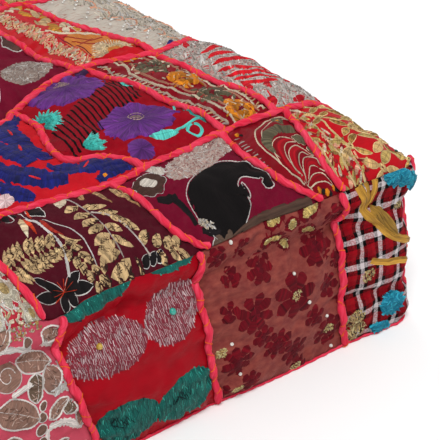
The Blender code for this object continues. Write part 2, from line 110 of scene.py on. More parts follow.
# The short cords between them, row by row from the front, left to right.
CROSS = (
    {
        "cord_r1_a": ((-0.151, -0.250), (-0.146, -0.210), (-0.148, -0.172)),
        "cord_r1_b": ((-0.043, -0.250), (-0.050, -0.222), (-0.053, -0.176)),
        "cord_r1_c": ((0.080, -0.250), (0.070, -0.244), (0.061, -0.234), (0.056, -0.206),
                      (0.050, -0.188)),
        "cord_r1_d": ((0.172, -0.250), (0.161, -0.243), (0.150, -0.232), (0.143, -0.206),
                      (0.147, -0.180)),
        "cord_r1_e": ((0.192, -0.250), (0.188, -0.236), (0.190, -0.216), (0.200, -0.181)),
    },
    {
        "cord_r2_a": ((-0.151, -0.172), (-0.160, -0.115), (-0.155, -0.053)),
        "cord_r2_b": ((-0.047, -0.176), (-0.060, -0.120), (-0.052, -0.064)),
        "cord_r2_c": ((0.080, -0.186), (0.077, -0.171), (0.064, -0.157), (0.045, -0.149),
                      (0.046, -0.128), (0.056, -0.098), (0.056, -0.067)),
        "cord_r2_d": ((0.149, -0.180), (0.149, -0.151), (0.144, -0.127), (0.140, -0.101),
                      (0.137, -0.073), (0.132, -0.046)),
        "cord_r2_e": ((0.194, -0.181), (0.191, -0.145), (0.185, -0.121), (0.181, -0.095),
                      (0.180, -0.060)),
    },
    {
        "cord_r3_a": ((-0.180, -0.053), (-0.170, 0.010), (-0.176, 0.093)),
        "cord_r3_b": ((-0.098, -0.054), (-0.088, 0.015), (-0.094, 0.096)),
        "cord_r3_c": ((-0.004, -0.078), (0.006, 0.010), (0.002, 0.092)),
        "cord_r3_d": ((0.124, -0.047), (0.120, -0.006), (0.121, 0.040), (0.125, 0.100)),
        "cord_r3_e": ((0.185, -0.060), (0.180, 0.000), (0.174, 0.050), (0.176, 0.100)),
    },
    {
        "cord_r4_a": ((-0.140, 0.095), (-0.148, 0.140), (-0.142, 0.180)),
        "cord_r4_b": ((-0.042, 0.094), (-0.036, 0.135), (-0.045, 0.180)),
        "cord_r4_c": ((0.062, 0.094), (0.056, 0.130), (0.060, 0.175)),
        "cord_r4_d": ((0.160, 0.101), (0.168, 0.140), (0.163, 0.179)),
    },
    {
        "cord_r5_a": ((-0.182, 0.178), (-0.188, 0.214), (-0.184, 0.250)),
        "cord_r5_b": ((-0.080, 0.181), (-0.074, 0.216), (-0.078, 0.250)),
        "cord_r5_c": ((0.022, 0.177), (0.016, 0.212), (0.020, 0.250)),
        "cord_r5_d": ((0.118, 0.177), (0.126, 0.214), (0.122, 0.250)),
    },
)

# The upright cords of each wall: place along the wall, left to right seen from outside, and
# height.
SIDES = ("front", "right", "back", "left")


def upright(*places):
    """A cord up the wall, from its foot past one more place to the top seam."""
    return tuple(zip(places, (0.0, 0.060, SEAM_Z)))


UPRIGHT = {
    "front": {
        "cord_front_a": upright(-0.150, -0.146, -0.152),
        "cord_front_b": ((-0.009, 0.0), (-0.014, 0.025), (-0.023, 0.052), (-0.032, 0.084),
                         (-0.036, 0.102), (-0.030, SEAM_Z)),
        "cord_front_c": ((0.087, 0.0), (0.079, 0.028), (0.075, 0.068), (0.070, 0.100),
                         (0.071, SEAM_Z)),
        "cord_front_d": ((0.195, 0.0), (0.188, 0.038), (0.190, 0.059), (0.188, 0.099),
                         (0.192, 0.110), (0.189, SEAM_Z)),
    },
    "right": {
        "cord_right_a": ((-0.242, 0.0), (-0.243, 0.050), (-0.242, SEAM_Z)),
        "cord_right_b": upright(-0.128, -0.133, -0.126),
        "cord_right_c": upright(-0.010, -0.004, -0.012),
        "cord_right_d": upright(0.108, 0.102, 0.107),
    },
    "back": {
        "cord_back_a": upright(-0.205, -0.210, -0.203),
        "cord_back_b": upright(-0.094, -0.088, -0.092),
        "cord_back_c": upright(0.022, 0.017, 0.023),
        "cord_back_d": upright(0.138, 0.143, 0.136),
    },
    "left": {
        "cord_left_a": upright(-0.180, -0.176, -0.182),
        "cord_left_b": upright(-0.068, -0.073, -0.066),
        "cord_left_c": upright(0.048, 0.053, 0.047),
        "cord_left_d": upright(0.166, 0.161, 0.167),
    },
}

# Soft folds: start, end, half width, and height (a trough is below zero).
TOP_FOLDS = (
    (0.203, -0.246, 0.246, -0.206, 0.0075, -0.0035),
    (0.196, -0.240, 0.214, -0.204, 0.0060, -0.0016),
    (0.198, -0.246, 0.232, -0.222, 0.0060, 0.0016),
    (0.240, -0.160, 0.222, -0.120, 0.0080, -0.0018),
    (0.228, -0.095, 0.246, -0.080, 0.0080, -0.0020),
    (0.060, -0.246, 0.074, -0.214, 0.0080, -0.0016),
    (-0.034, -0.246, -0.020, -0.222, 0.0080, -0.0016),
    (-0.235, -0.240, -0.205, -0.205, 0.0080, -0.0030),
    (0.235, 0.240, 0.205, 0.204, 0.0080, -0.0030),
    (-0.236, 0.238, -0.204, 0.208, 0.0080, -0.0030),
    (-0.120, 0.020, -0.080, 0.045, 0.0120, -0.0014),
)
WALL_FOLDS = {
    "front": (
        (-0.030, 0.1000, 0.014, 0.1060, 0.0045, -0.0030),
        (0.014, 0.1060, 0.064, 0.1010, 0.0045, -0.0024),
        (-0.020, 0.0930, 0.030, 0.0960, 0.0050, 0.0012),
        (0.072, 0.1010, 0.124, 0.1170, 0.0045, -0.0022),
        (0.150, 0.0960, 0.183, 0.1010, 0.0060, -0.0018),
        (0.088, 0.0150, 0.118, 0.0320, 0.0045, -0.0020),
        (0.086, 0.0280, 0.112, 0.0420, 0.0050, 0.0012),
        (0.150, 0.0420, 0.184, 0.0620, 0.0070, -0.0014),
        (0.190, 0.1010, 0.236, 0.1080, 0.0045, -0.0030),
        (0.196, 0.0960, 0.232, 0.0600, 0.0060, -0.0020),
        (0.206, 0.1000, 0.244, 0.0800, 0.0050, 0.0016),
        (0.198, 0.0420, 0.236, 0.0300, 0.0060, -0.0020),
        (0.214, 0.0060, 0.222, 0.0300, 0.0060, -0.0022),
        (0.230, 0.0050, 0.236, 0.0260, 0.0050, -0.0022),
        (-0.145, 0.1020, -0.090, 0.1050, 0.0050, -0.0024),
        (-0.090, 0.1050, -0.042, 0.1000, 0.0050, -0.0026),
    ),
    "right": (
        (-0.230, 0.1010, -0.170, 0.1060, 0.0050, -0.0026),
        (-0.125, 0.1010, -0.050, 0.1060, 0.0050, -0.0024),
        (0.000, 0.1000, 0.060, 0.1060, 0.0050, -0.0024),
        (0.110, 0.1010, 0.200, 0.1040, 0.0050, -0.0024),
        (-0.210, 0.0300, -0.180, 0.0600, 0.0070, -0.0016),
    ),
    "back": (
        (-0.190, 0.1020, -0.120, 0.1060, 0.0050, -0.0024),
        (-0.080, 0.1000, -0.010, 0.1050, 0.0050, -0.0024),
        (0.040, 0.1050, 0.120, 0.1010, 0.0050, -0.0024),
        (0.150, 0.1010, 0.220, 0.1040, 0.0050, -0.0024),
        (0.080, 0.0300, 0.120, 0.0480, 0.0070, -0.0016),
    ),
    "left": (
        (-0.170, 0.1010, -0.090, 0.1060, 0.0050, -0.0024),
        (-0.060, 0.1000, 0.030, 0.1050, 0.0050, -0.0024),
        (0.060, 0.1050, 0.150, 0.1010, 0.0050, -0.0024),
        (-0.030, 0.0250, 0.010, 0.0500, 0.0070, -0.0016),
    ),
}

# Cover
GRID = 0.0026          # step of the cover's grids and of the patches
SIM_CELLS = 125        # faces across one side of the simulated cover
SIM_ROWS = 31          # faces up its wall
SIM_FRAMES = 20
FILLING = {"quality": 5, "mass": 0.25, "tension_stiffness": 12.0, "compression_stiffness": 12.0,
           "shear_stiffness": 5.0, "bending_stiffness": 0.4, "use_pressure": True,
           "uniform_pressure_force": 4.0, "shrink_min": -0.025, "vertex_group_mass": "sewn"}
PUFF = 0.0040          # furthest a point of the cover moves as it fills
SEWN_HALF = 0.003      # half width of the strip that the sewing holds under a cord
SEWN_SOFT = 0.005      # how far its hold fades out beside that
WAIST_HOLD = 0.85      # how firmly the line under the rolled edge is held, and how high up
WAIST_LEN = 0.005      # and down from it
FOOT_LEN = 0.004       # how far up from the floor the foot is held
BODY_DEPTH = 0.0020    # how far the plain cover lies under the patches
TUCK = 0.0012          # how far a patch's edge is turned under
DYE = 0.76             # share of the light that a colour, as seen, sends back in the cloth
PUCKER = 0.0015        # how far the cloth gathers beside its joins
PUCKER_WAVES = (0.0132, 0.0094, 0.0073)    # from one gather to the next
PUCKER_GAIN = 1.6
PUCKER_LEN = 0.009     # how far the gathers reach from a join
PUCKER_START = 0.004   # how far from it they are full
CRUMPLE = 0.0006       # how uneven the cloth is all over
CRUMPLE_WAVES = (0.041, 0.033, 0.024, 0.019, 0.014, 0.011)
CRUMPLE_BEND = 1.6     # how far these waves bend, in radians, and over how many lengths
CRUMPLE_BEND_LEN = 2.4
CRUMPLE_SHARE = 2.4    # what their sum is divided by
FREE_LEN = 0.006       # how far from a join the cloth is free to crumple
PATCH_LOW = 0.0004     # the lowest points of patches, cords and stitching over the floor
CORD_LOW = 0.0005
STITCH_LOW = 0.0003

# Cords
CORD_R = 0.0027        # radius of a cord
CORD_RISE = 0.0014     # height of a cord's middle over the cover
CORD_STEP = 0.0012
CORD_SIDES = 12
CORD_LUMPS = (0.031, 0.019, 0.0117, 0.0073)
CORD_SWAY = 0.0007     # how far a cord strays from its line
CORD_SWAYS = (0.045, 0.027, 0.016)
CORD_END = 0.0018      # how quickly a cord's end rounds off
STITCH_STEP = 0.0115   # from one orange stitch to the next
STITCH_STRAY = 0.0052
STITCH_ENDS = (0.004, 0.002)           # from the cord's ends to its first and last stitch
STITCH_ARCS = ((0.05, 0.5), (2.6, 3.1))    # where round the cord a stitch starts and ends
STITCH_SLANT = (0.0008, 0.0030)
STITCH_HALF = (0.00032, 0.00048)       # half the thickness of its thread
STITCH_DRAW = 0.0013   # half width of the groove that a stitch draws into the cord
STITCH_LEAN = 0.0009   # how far that groove leans round the cord
STITCH_RISE = 0.00042  # height of a stitch's thread over the cord
STITCH_ROWS = 10       # points over the cord in each stitch
SEAM_R = 0.0009        # radius of the seam round the foot
SEAM_SIDES = 8
SEAM_STEP = 0.0025
SEAM_TWIST = 0.0077    # from one turn of its thread to the next
SEAM_RUN_Z = 0.0016    # height at which it follows the wall


# ---- The cover's form ----

def refine(grid, parts, axis=0, closed=False):
    """Read a grid of points more finely along one axis, on a smooth curve."""
    grid = np.moveaxis(grid, axis, 0)
    if closed:
        wide = np.concatenate((grid[-2:-1], grid, grid[1:2]))
    else:
        wide = np.concatenate((2 * grid[:1] - grid[1:2], grid, 2 * grid[-1:] - grid[-2:-1]))
    rows = []
    for i in range(1, len(wide) - 2):
        p0, p1, p2, p3 = wide[i - 1:i + 3]
        for u in np.arange(parts) / parts:
            rows.append(0.5 * (2 * p1 + (p2 - p0) * u + (2 * p0 - 5 * p1 + 4 * p2 - p3) * u ** 2
                               + (3 * p1 - p0 - 3 * p2 + p3) * u ** 3))
    rows.append(wide[-2])
    return np.moveaxis(np.array(rows), 0, axis)


def smooth_path(points):
    """A soft curve through every waypoint, as a dense polyline. Extra columns are carried."""
    return refine(np.array(points, dtype=float), PATH_PARTS)


def path_distance(x, y, path):
    """Distance from each point to a polyline."""
    best = np.full(np.shape(x), FAR)
    for (x0, y0), (x1, y1) in zip(path[:-1], path[1:]):
        dx = x1 - x0
        dy = y1 - y0
        u = np.clip(((x - x0) * dx + (y - y0) * dy) / (dx * dx + dy * dy), 0.0, 1.0)
        best = np.minimum(best, np.hypot(x - x0 - u * dx, y - y0 - u * dy))
    return best


def nearest(x, y, paths):
    """Distance from each point to the nearest of some polylines."""
    best = np.full(np.shape(x), FAR)
    for path in paths:
        best = np.minimum(best, path_distance(x, y, path))
    return best


def fold(x, y, spec):
    """Height of one soft fold."""
    x0, y0, x1, y1, width, height = spec
    away = path_distance(x, y, np.array(((x0, y0), (x1, y1))))
    return height * np.exp(-(away / width) ** 2)


LONG_PATHS = {name: smooth_path(points) for name, points in LONG.items()}
CROSS_PATHS = [{name: smooth_path(points) for name, points in row.items()} for row in CROSS]
UPRIGHT_PATHS = {side: {name: smooth_path(points) for name, points in cords.items()}
                 for side, cords in UPRIGHT.items()}
CROSSINGS = [path for row in CROSS_PATHS for path in row.values()]
TOP_PATHS = list(LONG_PATHS.values()) + CROSSINGS


def ripple(x, y, seed):
    """Small seeded unevenness, as a few long waves."""
    rng = np.random.default_rng(seed)
    total = np.zeros(np.shape(x))
    for wave in RIPPLES:
        ax, ay = rng.uniform(-1.0, 1.0, 2) * wave
        total = total + np.sin(ax * x + ay * y + rng.uniform(0.0, TURN))
    return RIPPLE * total


def upright_distance(side, along, z):
    """Distance along the wall to its nearest upright cord at this height."""
    best = np.full(np.shape(along), FAR)
    for path in UPRIGHT_PATHS[side].values():
        best = np.minimum(best, np.abs(along - np.interp(z, path[:, 1], path[:, 0])))
    return best


def walls(run):
    """For each side of the wall: its name, which of the runs are on it, and places along it."""
    for k, side in enumerate(SIDES):
        here = (run >= SIDE * k - NEAR_ZERO) & (run <= SIDE * (k + 1) + NEAR_ZERO)
        yield side, here, run[here] - SIDE * k - HALF


def wall_distance(run, z):
    """Distance to the nearest upright cord, for places anywhere on the wall."""
    best = np.full(run.shape, FAR)
    for side, here, along in walls(run):
        best[here] = np.minimum(best[here], upright_distance(side, along, z[here]))
    return best


def ear_share(along):
    """How much of a place along a wall belongs to the wall's ends."""
    return np.abs(along / HALF) ** EAR_POWER


def wall_out(side, along, z):
    """How far a wall stands out from the square, at a place along it and a height."""
    corner = ear_share(along)
    plain = np.interp(z, [p[0] for p in WALL], [p[1] for p in WALL])
    ear = np.interp(z, [p[0] for p in EAR], [p[1] for p in EAR])
    near = np.exp(-upright_distance(side, along, z) / PINCH_LEN)
    plain = plain + PINCH * (PINCH_MEAN - near) + ripple(along, 1.6 * z, 5)
    for spec in WALL_FOLDS[side]:
        plain = plain + fold(along, z, spec)
    if side == "right":
        plain = plain + EXTRA_RIGHT * (z / SEAM_Z) ** 2
    if side == "front":
        lean = np.tanh((along - FRONT_FOOT_AT) / FRONT_FOOT_LEN)
        plain = plain + FRONT_FOOT * np.exp(-z / FRONT_FOOT_LEN) * lean
    return plain * (1.0 - corner) + ear * corner


def edge_dip(side, along):
    """How far the top seam sinks beside the cords of the wall under it."""
    away = upright_distance(side, along, np.full(np.shape(along), SEAM_Z))
    dip = -EDGE_DIP * np.exp(-away / EDGE_DIP_LEN) * (1.0 - ear_share(along))
    if side == "front":
        dip = dip - SAG * np.exp(-((along - SAG_AT) / SAG_LEN) ** 2)
    return dip


def mound(s, t, spec):
    """A smooth mound on the top, 1 high."""
    middle_s, middle_t, wide, deep = spec
    return np.exp(-((s - middle_s) / wide) ** 2 - ((t - middle_t) / deep) ** 2)


def top_height(s, t):
    """Height of the filled top at s, t, each from -1 to 1 across the cushion."""
    x = HALF * s
    y = HALF * t
    in_x = HALF - np.abs(x)
    in_y = HALF - np.abs(y)
    inside = (1 - np.exp(-in_x / SHOULDER_LEN)) * (1 - np.exp(-in_y / SHOULDER_LEN))
    z = SEAM_Z + SHOULDER * inside + CROWN * (1 - s ** 2) * (1 - t ** 2)
    z = z + (FULL_CORNER * mound(s, t, FULL_AT) - SUNK_SIDE * mound(s, t, SUNK_AT)) * inside
    channel = np.exp(-nearest(x, y, TOP_PATHS) / CHANNEL_LEN)
    z = z + CHANNEL * (CHANNEL_MEAN - channel) * inside ** 0.5
    z = z + ripple(x, y, 3) * inside
    for spec in TOP_FOLDS:
        z = z + fold(x, y, spec) * inside
    side_x = np.where(s > 0, edge_dip("right", y), edge_dip("left", -y))
    side_y = np.where(t > 0, edge_dip("back", -x), edge_dip("front", x))
    return z + side_x * np.abs(s) ** RIM_POWER + side_y * np.abs(t) ** RIM_POWER


def round_corner(s, t):
    """Turn the sharp corners of the square into soft ones."""
    u = np.clip((np.abs(s) - 1 + CORNER) / CORNER, 0.0, 1.0)
    v = np.clip((np.abs(t) - 1 + CORNER) / CORNER, 0.0, 1.0)
    round_s = np.sign(s) * (1 - CORNER + CORNER * u * np.sqrt(1 - v ** 2 / 2))
    round_t = np.sign(t) * (1 - CORNER + CORNER * v * np.sqrt(1 - u ** 2 / 2))
    return np.where(u > 0, round_s, s), np.where(v > 0, round_t, t)


def place(s, t, z, level):
    """Position of a point of the cover. level is the height its wall stand-out is read at."""
    round_s, round_t = round_corner(s, t)
    x = HALF * s
    y = HALF * t
    out_x = np.where(s > 0, wall_out("right", y, level), wall_out("left", -y, level))
    out_y = np.where(t > 0, wall_out("back", -x, level), wall_out("front", x, level))
    px = HALF * round_s + np.sign(s) * np.abs(s) ** RIM_POWER * out_x
    py = HALF * round_t + np.sign(t) * np.abs(t) ** RIM_POWER * out_y
    return np.stack((px, py, z), axis=-1)


def top_points(x, y):
    """The top of the cover over a grid of the flat square."""
    s, t = np.meshgrid(x / HALF, y / HALF, indexing="ij")
    return place(s, t, top_height(s, t), np.full(np.shape(s), SEAM_Z))


def wall_points(run, heights):
    """The wall of the cover over a grid of runs round the foot and heights."""
    out = np.zeros((len(run), len(heights), 3))
    for k, (side, here, along) in enumerate(walls(run)):
        a, z = np.meshgrid(along / HALF, heights, indexing="ij")
        one = np.ones(np.shape(a))
        s, t = ((a, -one), (one, a), (-a, one), (-one, -a))[k]
        rise = (z / SEAM_Z) ** 3 * edge_dip(side, HALF * a)
        out[here] = place(s, t, z + rise, z)
    return out


def unit(vectors):
    """The same directions, each with a length of 1."""
    return vectors / np.maximum(np.linalg.norm(vectors, axis=-1, keepdims=True), TINY)


def normals(grid):
    """The direction straight out of a grid of points, at each point."""
    return unit(np.cross(np.gradient(grid, axis=0), np.gradient(grid, axis=1)))


class Surface:
    """A stretch of the cover as a grid of points, read between them by place and height."""

    def __init__(self, points, start, step):
        """start is the place of the grid's first point, and step goes from one to the next."""
        self.points = points
        self.start = start
        self.step = step
        self.normals = normals(points)

    def at(self, u, v, height):
        """Positions at places u, v and heights over the cover."""
        rows, columns = self.points.shape[:2]
        i = np.clip((u - self.start[0]) / self.step[0], 0, rows - LAST)
        j = np.clip((v - self.start[1]) / self.step[1], 0, columns - LAST)
        i0 = i.astype(int)
        j0 = j.astype(int)
        a = (i - i0)[..., None]
        b = (j - j0)[..., None]
        both = []
        for grid in (self.points, self.normals):
            low = grid[i0, j0] * (1 - b) + grid[i0, j0 + 1] * b
            high = grid[i0 + 1, j0] * (1 - b) + grid[i0 + 1, j0 + 1] * b
            both.append(low * (1 - a) + high * a)
        return both[0] + both[1] * np.asarray(height)[..., None]


# ---- Mesh helpers ----

def make_object(name, points, faces, materials, kinds=None):
    """A smooth mesh object from points and faces, with a material number for each face."""
    data = bpy.data.meshes.new(name)
    data.from_pydata([tuple(p) for p in np.asarray(points, dtype=float).tolist()], [], faces)
    for material in materials:
        data.materials.append(material)
    if kinds is not None:
        data.polygons.foreach_set("material_index", np.asarray(kinds, dtype=np.int32))
    data.shade_smooth()
    item = bpy.data.objects.new(name, data)
    bpy.context.scene.collection.objects.link(item)
    return item


def store(item, name, values, kind="FLOAT_VECTOR"):
    """Keep a vector, or a colour, for every point of a mesh."""
    attribute = item.data.attributes.new(name, kind, "POINT")
    key = "color" if kind == "FLOAT_COLOR" else "vector"
    attribute.data.foreach_set(key, np.asarray(values, dtype=np.float32).ravel())


def places_at(u, v, w=0.0):
    """Places of points as the cloth's materials read them."""
    return np.stack((u, v, np.full(u.shape, w)), axis=-1)


def store_map(item, at_point):
    """A texture map with a place for every point."""
    layer = item.data.uv_layers.new(name="OFBake")
    corner = np.zeros(len(item.data.loops), dtype=np.int32)
    item.data.loops.foreach_get("vertex_index", corner)
    layer.uv.foreach_set("vector", at_point[corner].astype(np.float32).ravel())


def grid_faces(rows, columns, first=0):
    """The faces of a grid of points, row by row."""
    i, j = np.meshgrid(np.arange(rows - 1), np.arange(columns - 1), indexing="ij")
    a = (first + i * columns + j).ravel()
    return np.stack((a, a + columns, a + columns + 1, a + 1), axis=1)


def run_along(path):
    """How far along a path each of its points is."""
    return np.concatenate(([0.0], np.cumsum(np.hypot(*np.diff(path[:, :2], axis=0).T))))


def even_steps(path, step):
    """The same path with points at even steps. Columns after the first two are carried."""
    run = run_along(path)
    count = max(int(round(run[-1] / step)), 2)
    marks = np.linspace(0.0, run[-1], count + 1)
    return np.column_stack([np.interp(marks, run, column) for column in path.T])


def linear(colour):
    """A colour given as 0 to 255 as the eye sees it, for the renderer."""
    c = np.asarray(colour, dtype=float) / 255.0
    return DYE * np.where(c <= 0.04045, c / 12.92, ((c + 0.055) / 1.055) ** 2.4)


def wavy(run, seed, lengths, size):
    """Smooth seeded noise along a line, as a sum of waves of the given lengths."""
    rng = np.random.default_rng(seed)
    total = np.zeros(np.shape(run))
    for length in lengths:
        total = total + np.sin(2 * math.pi * run / length + rng.uniform(0.0, TURN))
    return size * total / len(lengths)


# ---- Materials ----

# Colours are given as they are seen, from 0 to 255
SHEEN_TINT = (1.0, 0.55, 0.5, 1.0)
YARN = 0.00055         # from one yarn of plain cotton to the next
WORN = (255, 225, 210)
CHECKS = (("X", 0.0150, 0.0044), ("Y", 0.0190, 0.0097))    # axis, pitch and shift of a check
CHECK_BANDS = ((0.0, (162, 14, 28)), (0.22, (12, 9, 11)), (0.41, (226, 212, 214)),
               (0.61, (12, 9, 11)), (0.79, (140, 12, 26)))


class Shader:
    """A Principled material and short ways to add nodes to it."""

    def __init__(self, name, roughness, sheen=0.0, metallic=0.0, coat=0.0, specular=0.03):
        """The numbers are the material's own inputs."""
        self.material = bpy.data.materials.new(name)
        self.material.use_nodes = True
        self.nodes = self.material.node_tree.nodes
        self.main = self.nodes["Principled BSDF"]
        self.main.inputs["Roughness"].default_value = roughness
        self.main.inputs["Specular IOR Level"].default_value = specular
        self.main.inputs["Sheen Weight"].default_value = sheen
        self.main.inputs["Sheen Tint"].default_value = SHEEN_TINT
        self.main.inputs["Sheen Roughness"].default_value = 0.4
        self.main.inputs["Metallic"].default_value = metallic
        self.main.inputs["Coat Weight"].default_value = coat

    def put(self, socket, value):
        """Set an input to a number, or link it to another node's output."""
        if isinstance(value, bpy.types.NodeSocket):
            self.material.node_tree.links.new(value, socket)
        elif value is not None:
            socket.default_value = value

    def node(self, kind, settings=None, **inputs):
        """Add a node, with settings of the node and values or links for its inputs by name."""
        made = self.nodes.new(kind)
        for key, value in (settings or {}).items():
            setattr(made, key, value)
        for key, value in inputs.items():
            self.put(made.inputs[key.replace("_", " ")], value)
        return made

    def attribute(self, name, output="Vector"):
        """A value that the mesh keeps for its points."""
        return self.node("ShaderNodeAttribute", {"attribute_name": name}).outputs[output]

    def stretch(self, place, x, y):
        """A place with its first two numbers scaled."""
        made = self.node("ShaderNodeVectorMath", {"operation": "MULTIPLY"})
        self.put(made.inputs[0], place)
        made.inputs[1].default_value = (x, y, 1.0)
        return made.outputs[0]

    def turned(self, place, angle):
        """A place turned in the plane of the cloth."""
        made = self.node("ShaderNodeVectorRotate", {"rotation_type": "Z_AXIS"}, Vector=place,
                         Angle=angle)
        return made.outputs[0]

    def noise(self, place, scale, detail=2.0, roughness=0.5):
        """Soft noise from 0 to 1."""
        made = self.node("ShaderNodeTexNoise", Vector=place, Scale=scale, Detail=detail,
                         Roughness=roughness)
        return made.outputs["Fac"]

    def math(self, operation, a, b):
        """Two numbers put together."""
        made = self.node("ShaderNodeMath", {"operation": operation})
        self.put(made.inputs[0], a)
        self.put(made.inputs[1], b)
        return made.outputs[0]

    def span(self, value, low, high, to_low=0.0, to_high=1.0):
        """Stretch a value from one range to another, held inside it."""
        made = self.node("ShaderNodeMapRange", {"clamp": True}, Value=value)
        for key, number in (("From Min", low), ("From Max", high), ("To Min", to_low),
                            ("To Max", to_high)):
            made.inputs[key].default_value = number
        return made.outputs[0]

    def mix(self, share, a, b):
        """Mix two colours. Plain colours are given as 0 to 255."""
        made = self.node("ShaderNodeMix", {"data_type": "RGBA"})
        self.put(made.inputs["Factor"], share)
        for socket, value in ((made.inputs[6], a), (made.inputs[7], b)):
            if not isinstance(value, bpy.types.NodeSocket):
                value = (*linear(value), 1.0)
            self.put(socket, value)
        return made.outputs[2]

    def bright(self, colour, value):
        """Multiply a colour by a number."""
        made = self.node("ShaderNodeVectorMath", {"operation": "SCALE"})
        self.put(made.inputs[0], colour)
        self.put(made.inputs["Scale"], value)
        return made.outputs[0]

    def bands(self, place, axis, period):
        """Waves from 0 to 1 across an axis, a period apart."""
        made = self.node("ShaderNodeTexWave", {"bands_direction": axis}, Vector=place,
                         Scale=math.pi / (10 * period))
        return made.outputs["Fac"]

    def finish(self, colour, height=None, strength=0.3, distance=0.0004):
        """The material itself, with its colour and the height of its bumps."""
        self.put(self.main.inputs["Base Color"], colour)
        if height is not None:
            bump = self.node("ShaderNodeBump", Strength=strength, Distance=distance,
                             Height=height)
            self.put(self.main.inputs["Normal"], bump.outputs[0])
        return self.material


def blotches(shader, place, colour, scale=90.0, depth=0.2, lift=0.012):
    """Uneven dye: darker patches, and a little of a paler tint where the cloth is worn."""
    slow = shader.noise(place, scale, 3.0)
    value = shader.span(slow, 0.25, 0.75, 1.0 - depth, 1.0 + 0.5 * depth)
    worn = shader.span(shader.noise(place, 3 * scale, 4.0, 0.65), 0.45, 0.8, 0.0, lift)
    return shader.bright(shader.mix(worn, colour, WORN), value)


def woven(shader, place, yarn=YARN):
    """The height of a plain weave, with thick and thin yarns."""
    thick_x = shader.noise(shader.stretch(place, 30.0, 1600.0), 1.0, 2.0)
    thick_y = shader.noise(shader.stretch(place, 1600.0, 30.0), 1.0, 2.0)
    weft = shader.math("MULTIPLY", shader.bands(place, "X", yarn), thick_x)
    warp = shader.math("MULTIPLY", shader.bands(place, "Y", yarn), thick_y)
    return shader.math("MAXIMUM", weft, warp)


def cotton(name, colour):
    """Plain woven cotton."""
    shader = Shader(name, 0.9, sheen=0.03)
    place = shader.attribute("weave")
    weave = woven(shader, place)
    base = blotches(shader, place, colour)
    base = shader.bright(base, shader.span(weave, 0.0, 0.9, 0.82, 1.10))
    return shader.finish(base, weave, 0.45)


def satin(name, colour):
    """Smooth silky cloth with a fine weave, faint floats and a soft shine."""
    shader = Shader(name, 0.42, sheen=0.01, specular=0.05)
    place = shader.attribute("weave")
    floats = shader.noise(shader.stretch(place, 60.0, 2400.0), 1.0, 3.0)
    crumple = shader.noise(place, 130.0, 3.0)
    base = blotches(shader, place, colour, depth=0.16, lift=0.0)
    base = shader.bright(base, shader.span(floats, 0.3, 0.7, 0.94, 1.05))
    height = shader.math("ADD", floats, shader.math("MULTIPLY", crumple, 2.0))
    return shader.finish(base, height, 0.25, 0.0005)


def sheer(name, colour, under):
    """Thin crumpled gauze over a darker ground."""
    shader = Shader(name, 0.6, sheen=0.04, specular=0.15)
    place = shader.attribute("weave")
    crumple = shader.noise(shader.stretch(place, 1.0, 1.6), 120.0, 4.0, 0.6)
    weave = woven(shader, place, 0.00045)
    base = shader.mix(shader.span(crumple, 0.35, 0.70), under, colour)
    base = blotches(shader, place, base, scale=110.0, depth=0.16, lift=0.02)
    height = shader.math("ADD", weave, shader.math("MULTIPLY", crumple, 2.5))
    return shader.finish(base, height, 0.30, 0.0005)


def threaded(name, colour, ground, turn, cover):
    """A ground closely covered with short lines of thread."""
    shader = Shader(name, 0.6, sheen=0.05, specular=0.2)
    place = shader.attribute("weave")
    lines = shader.stretch(shader.turned(place, turn), 130.0, 900.0)
    lines = shader.noise(lines, 1.0, 2.0, 0.6)
    show = shader.span(lines, 0.5 - 0.12 * cover, 0.62 - 0.12 * cover)
    base = shader.mix(show, ground, colour)
    base = blotches(shader, place, base, depth=0.18, lift=0.03)
    return shader.finish(base, lines, 0.6, 0.0008)


def plaid(name):
    """Checked cotton in red, black, white and pink."""
    shader = Shader(name, 0.85, sheen=0.03)
    place = shader.attribute("weave")
    parts = shader.node("ShaderNodeSeparateXYZ", Vector=shader.turned(place, 0.03))
    tones = []
    for axis, pitch, shift in CHECKS:
        moved = shader.math("ADD", parts.outputs[axis], shift)
        at = shader.math("MODULO", shader.math("ADD", moved, 10 * pitch), pitch)
        ramp = shader.node("ShaderNodeValToRGB", Fac=shader.math("DIVIDE", at, pitch))
        stops = ramp.color_ramp
        stops.interpolation = "CONSTANT"
        while len(stops.elements) < len(CHECK_BANDS):
            stops.elements.new(0.5)
        for stop, (share, colour) in zip(stops.elements, CHECK_BANDS):
            stop.position = share
            stop.color = (*linear(colour), 1.0)
        tones.append(ramp.outputs[0])
    weave = woven(shader, place, 0.0006)
    twill = shader.span(shader.noise(place, 900.0, 1.0), 0.42, 0.58, 0.30, 0.70)
    base = blotches(shader, place, shader.mix(twill, *tones), lift=0.02)
    return shader.finish(base, weave, 0.4)


def thread(name, roughness=0.6, sheen=0.06, metallic=0.0, spark=0.0, depth=0.55):
    """Stitched thread in the colour that each stitch carries, with fine fibres along it."""
    shader = Shader(name, roughness, sheen=sheen, metallic=metallic, specular=0.12)
    lay = shader.attribute("lay")
    fibre = shader.noise(shader.stretch(lay, 90.0, 1500.0), 1.0, 3.0, 0.6)
    base = shader.bright(shader.attribute("tint", "Color"),
                         shader.span(fibre, 0.28, 0.72, 1.0 - depth, 1.0 + 0.6 * depth))
    if spark:
        glint = shader.noise(lay, 1300.0, 2.0, 0.7)
        base = shader.bright(base, shader.span(glint, 0.5, 0.72, 0.75, 1.0 + spark))
    return shader.finish(base, fibre, 0.7, 0.0006)


def glass_bead(name):
    """Small polished beads and pearls."""
    shader = Shader(name, 0.18, coat=0.6, specular=0.5)
    lay = shader.attribute("lay")
    cloud = shader.span(shader.noise(lay, 300.0, 2.0), 0.3, 0.7, 0.85, 1.1)
    return shader.finish(shader.bright(shader.attribute("tint", "Color"), cloud))


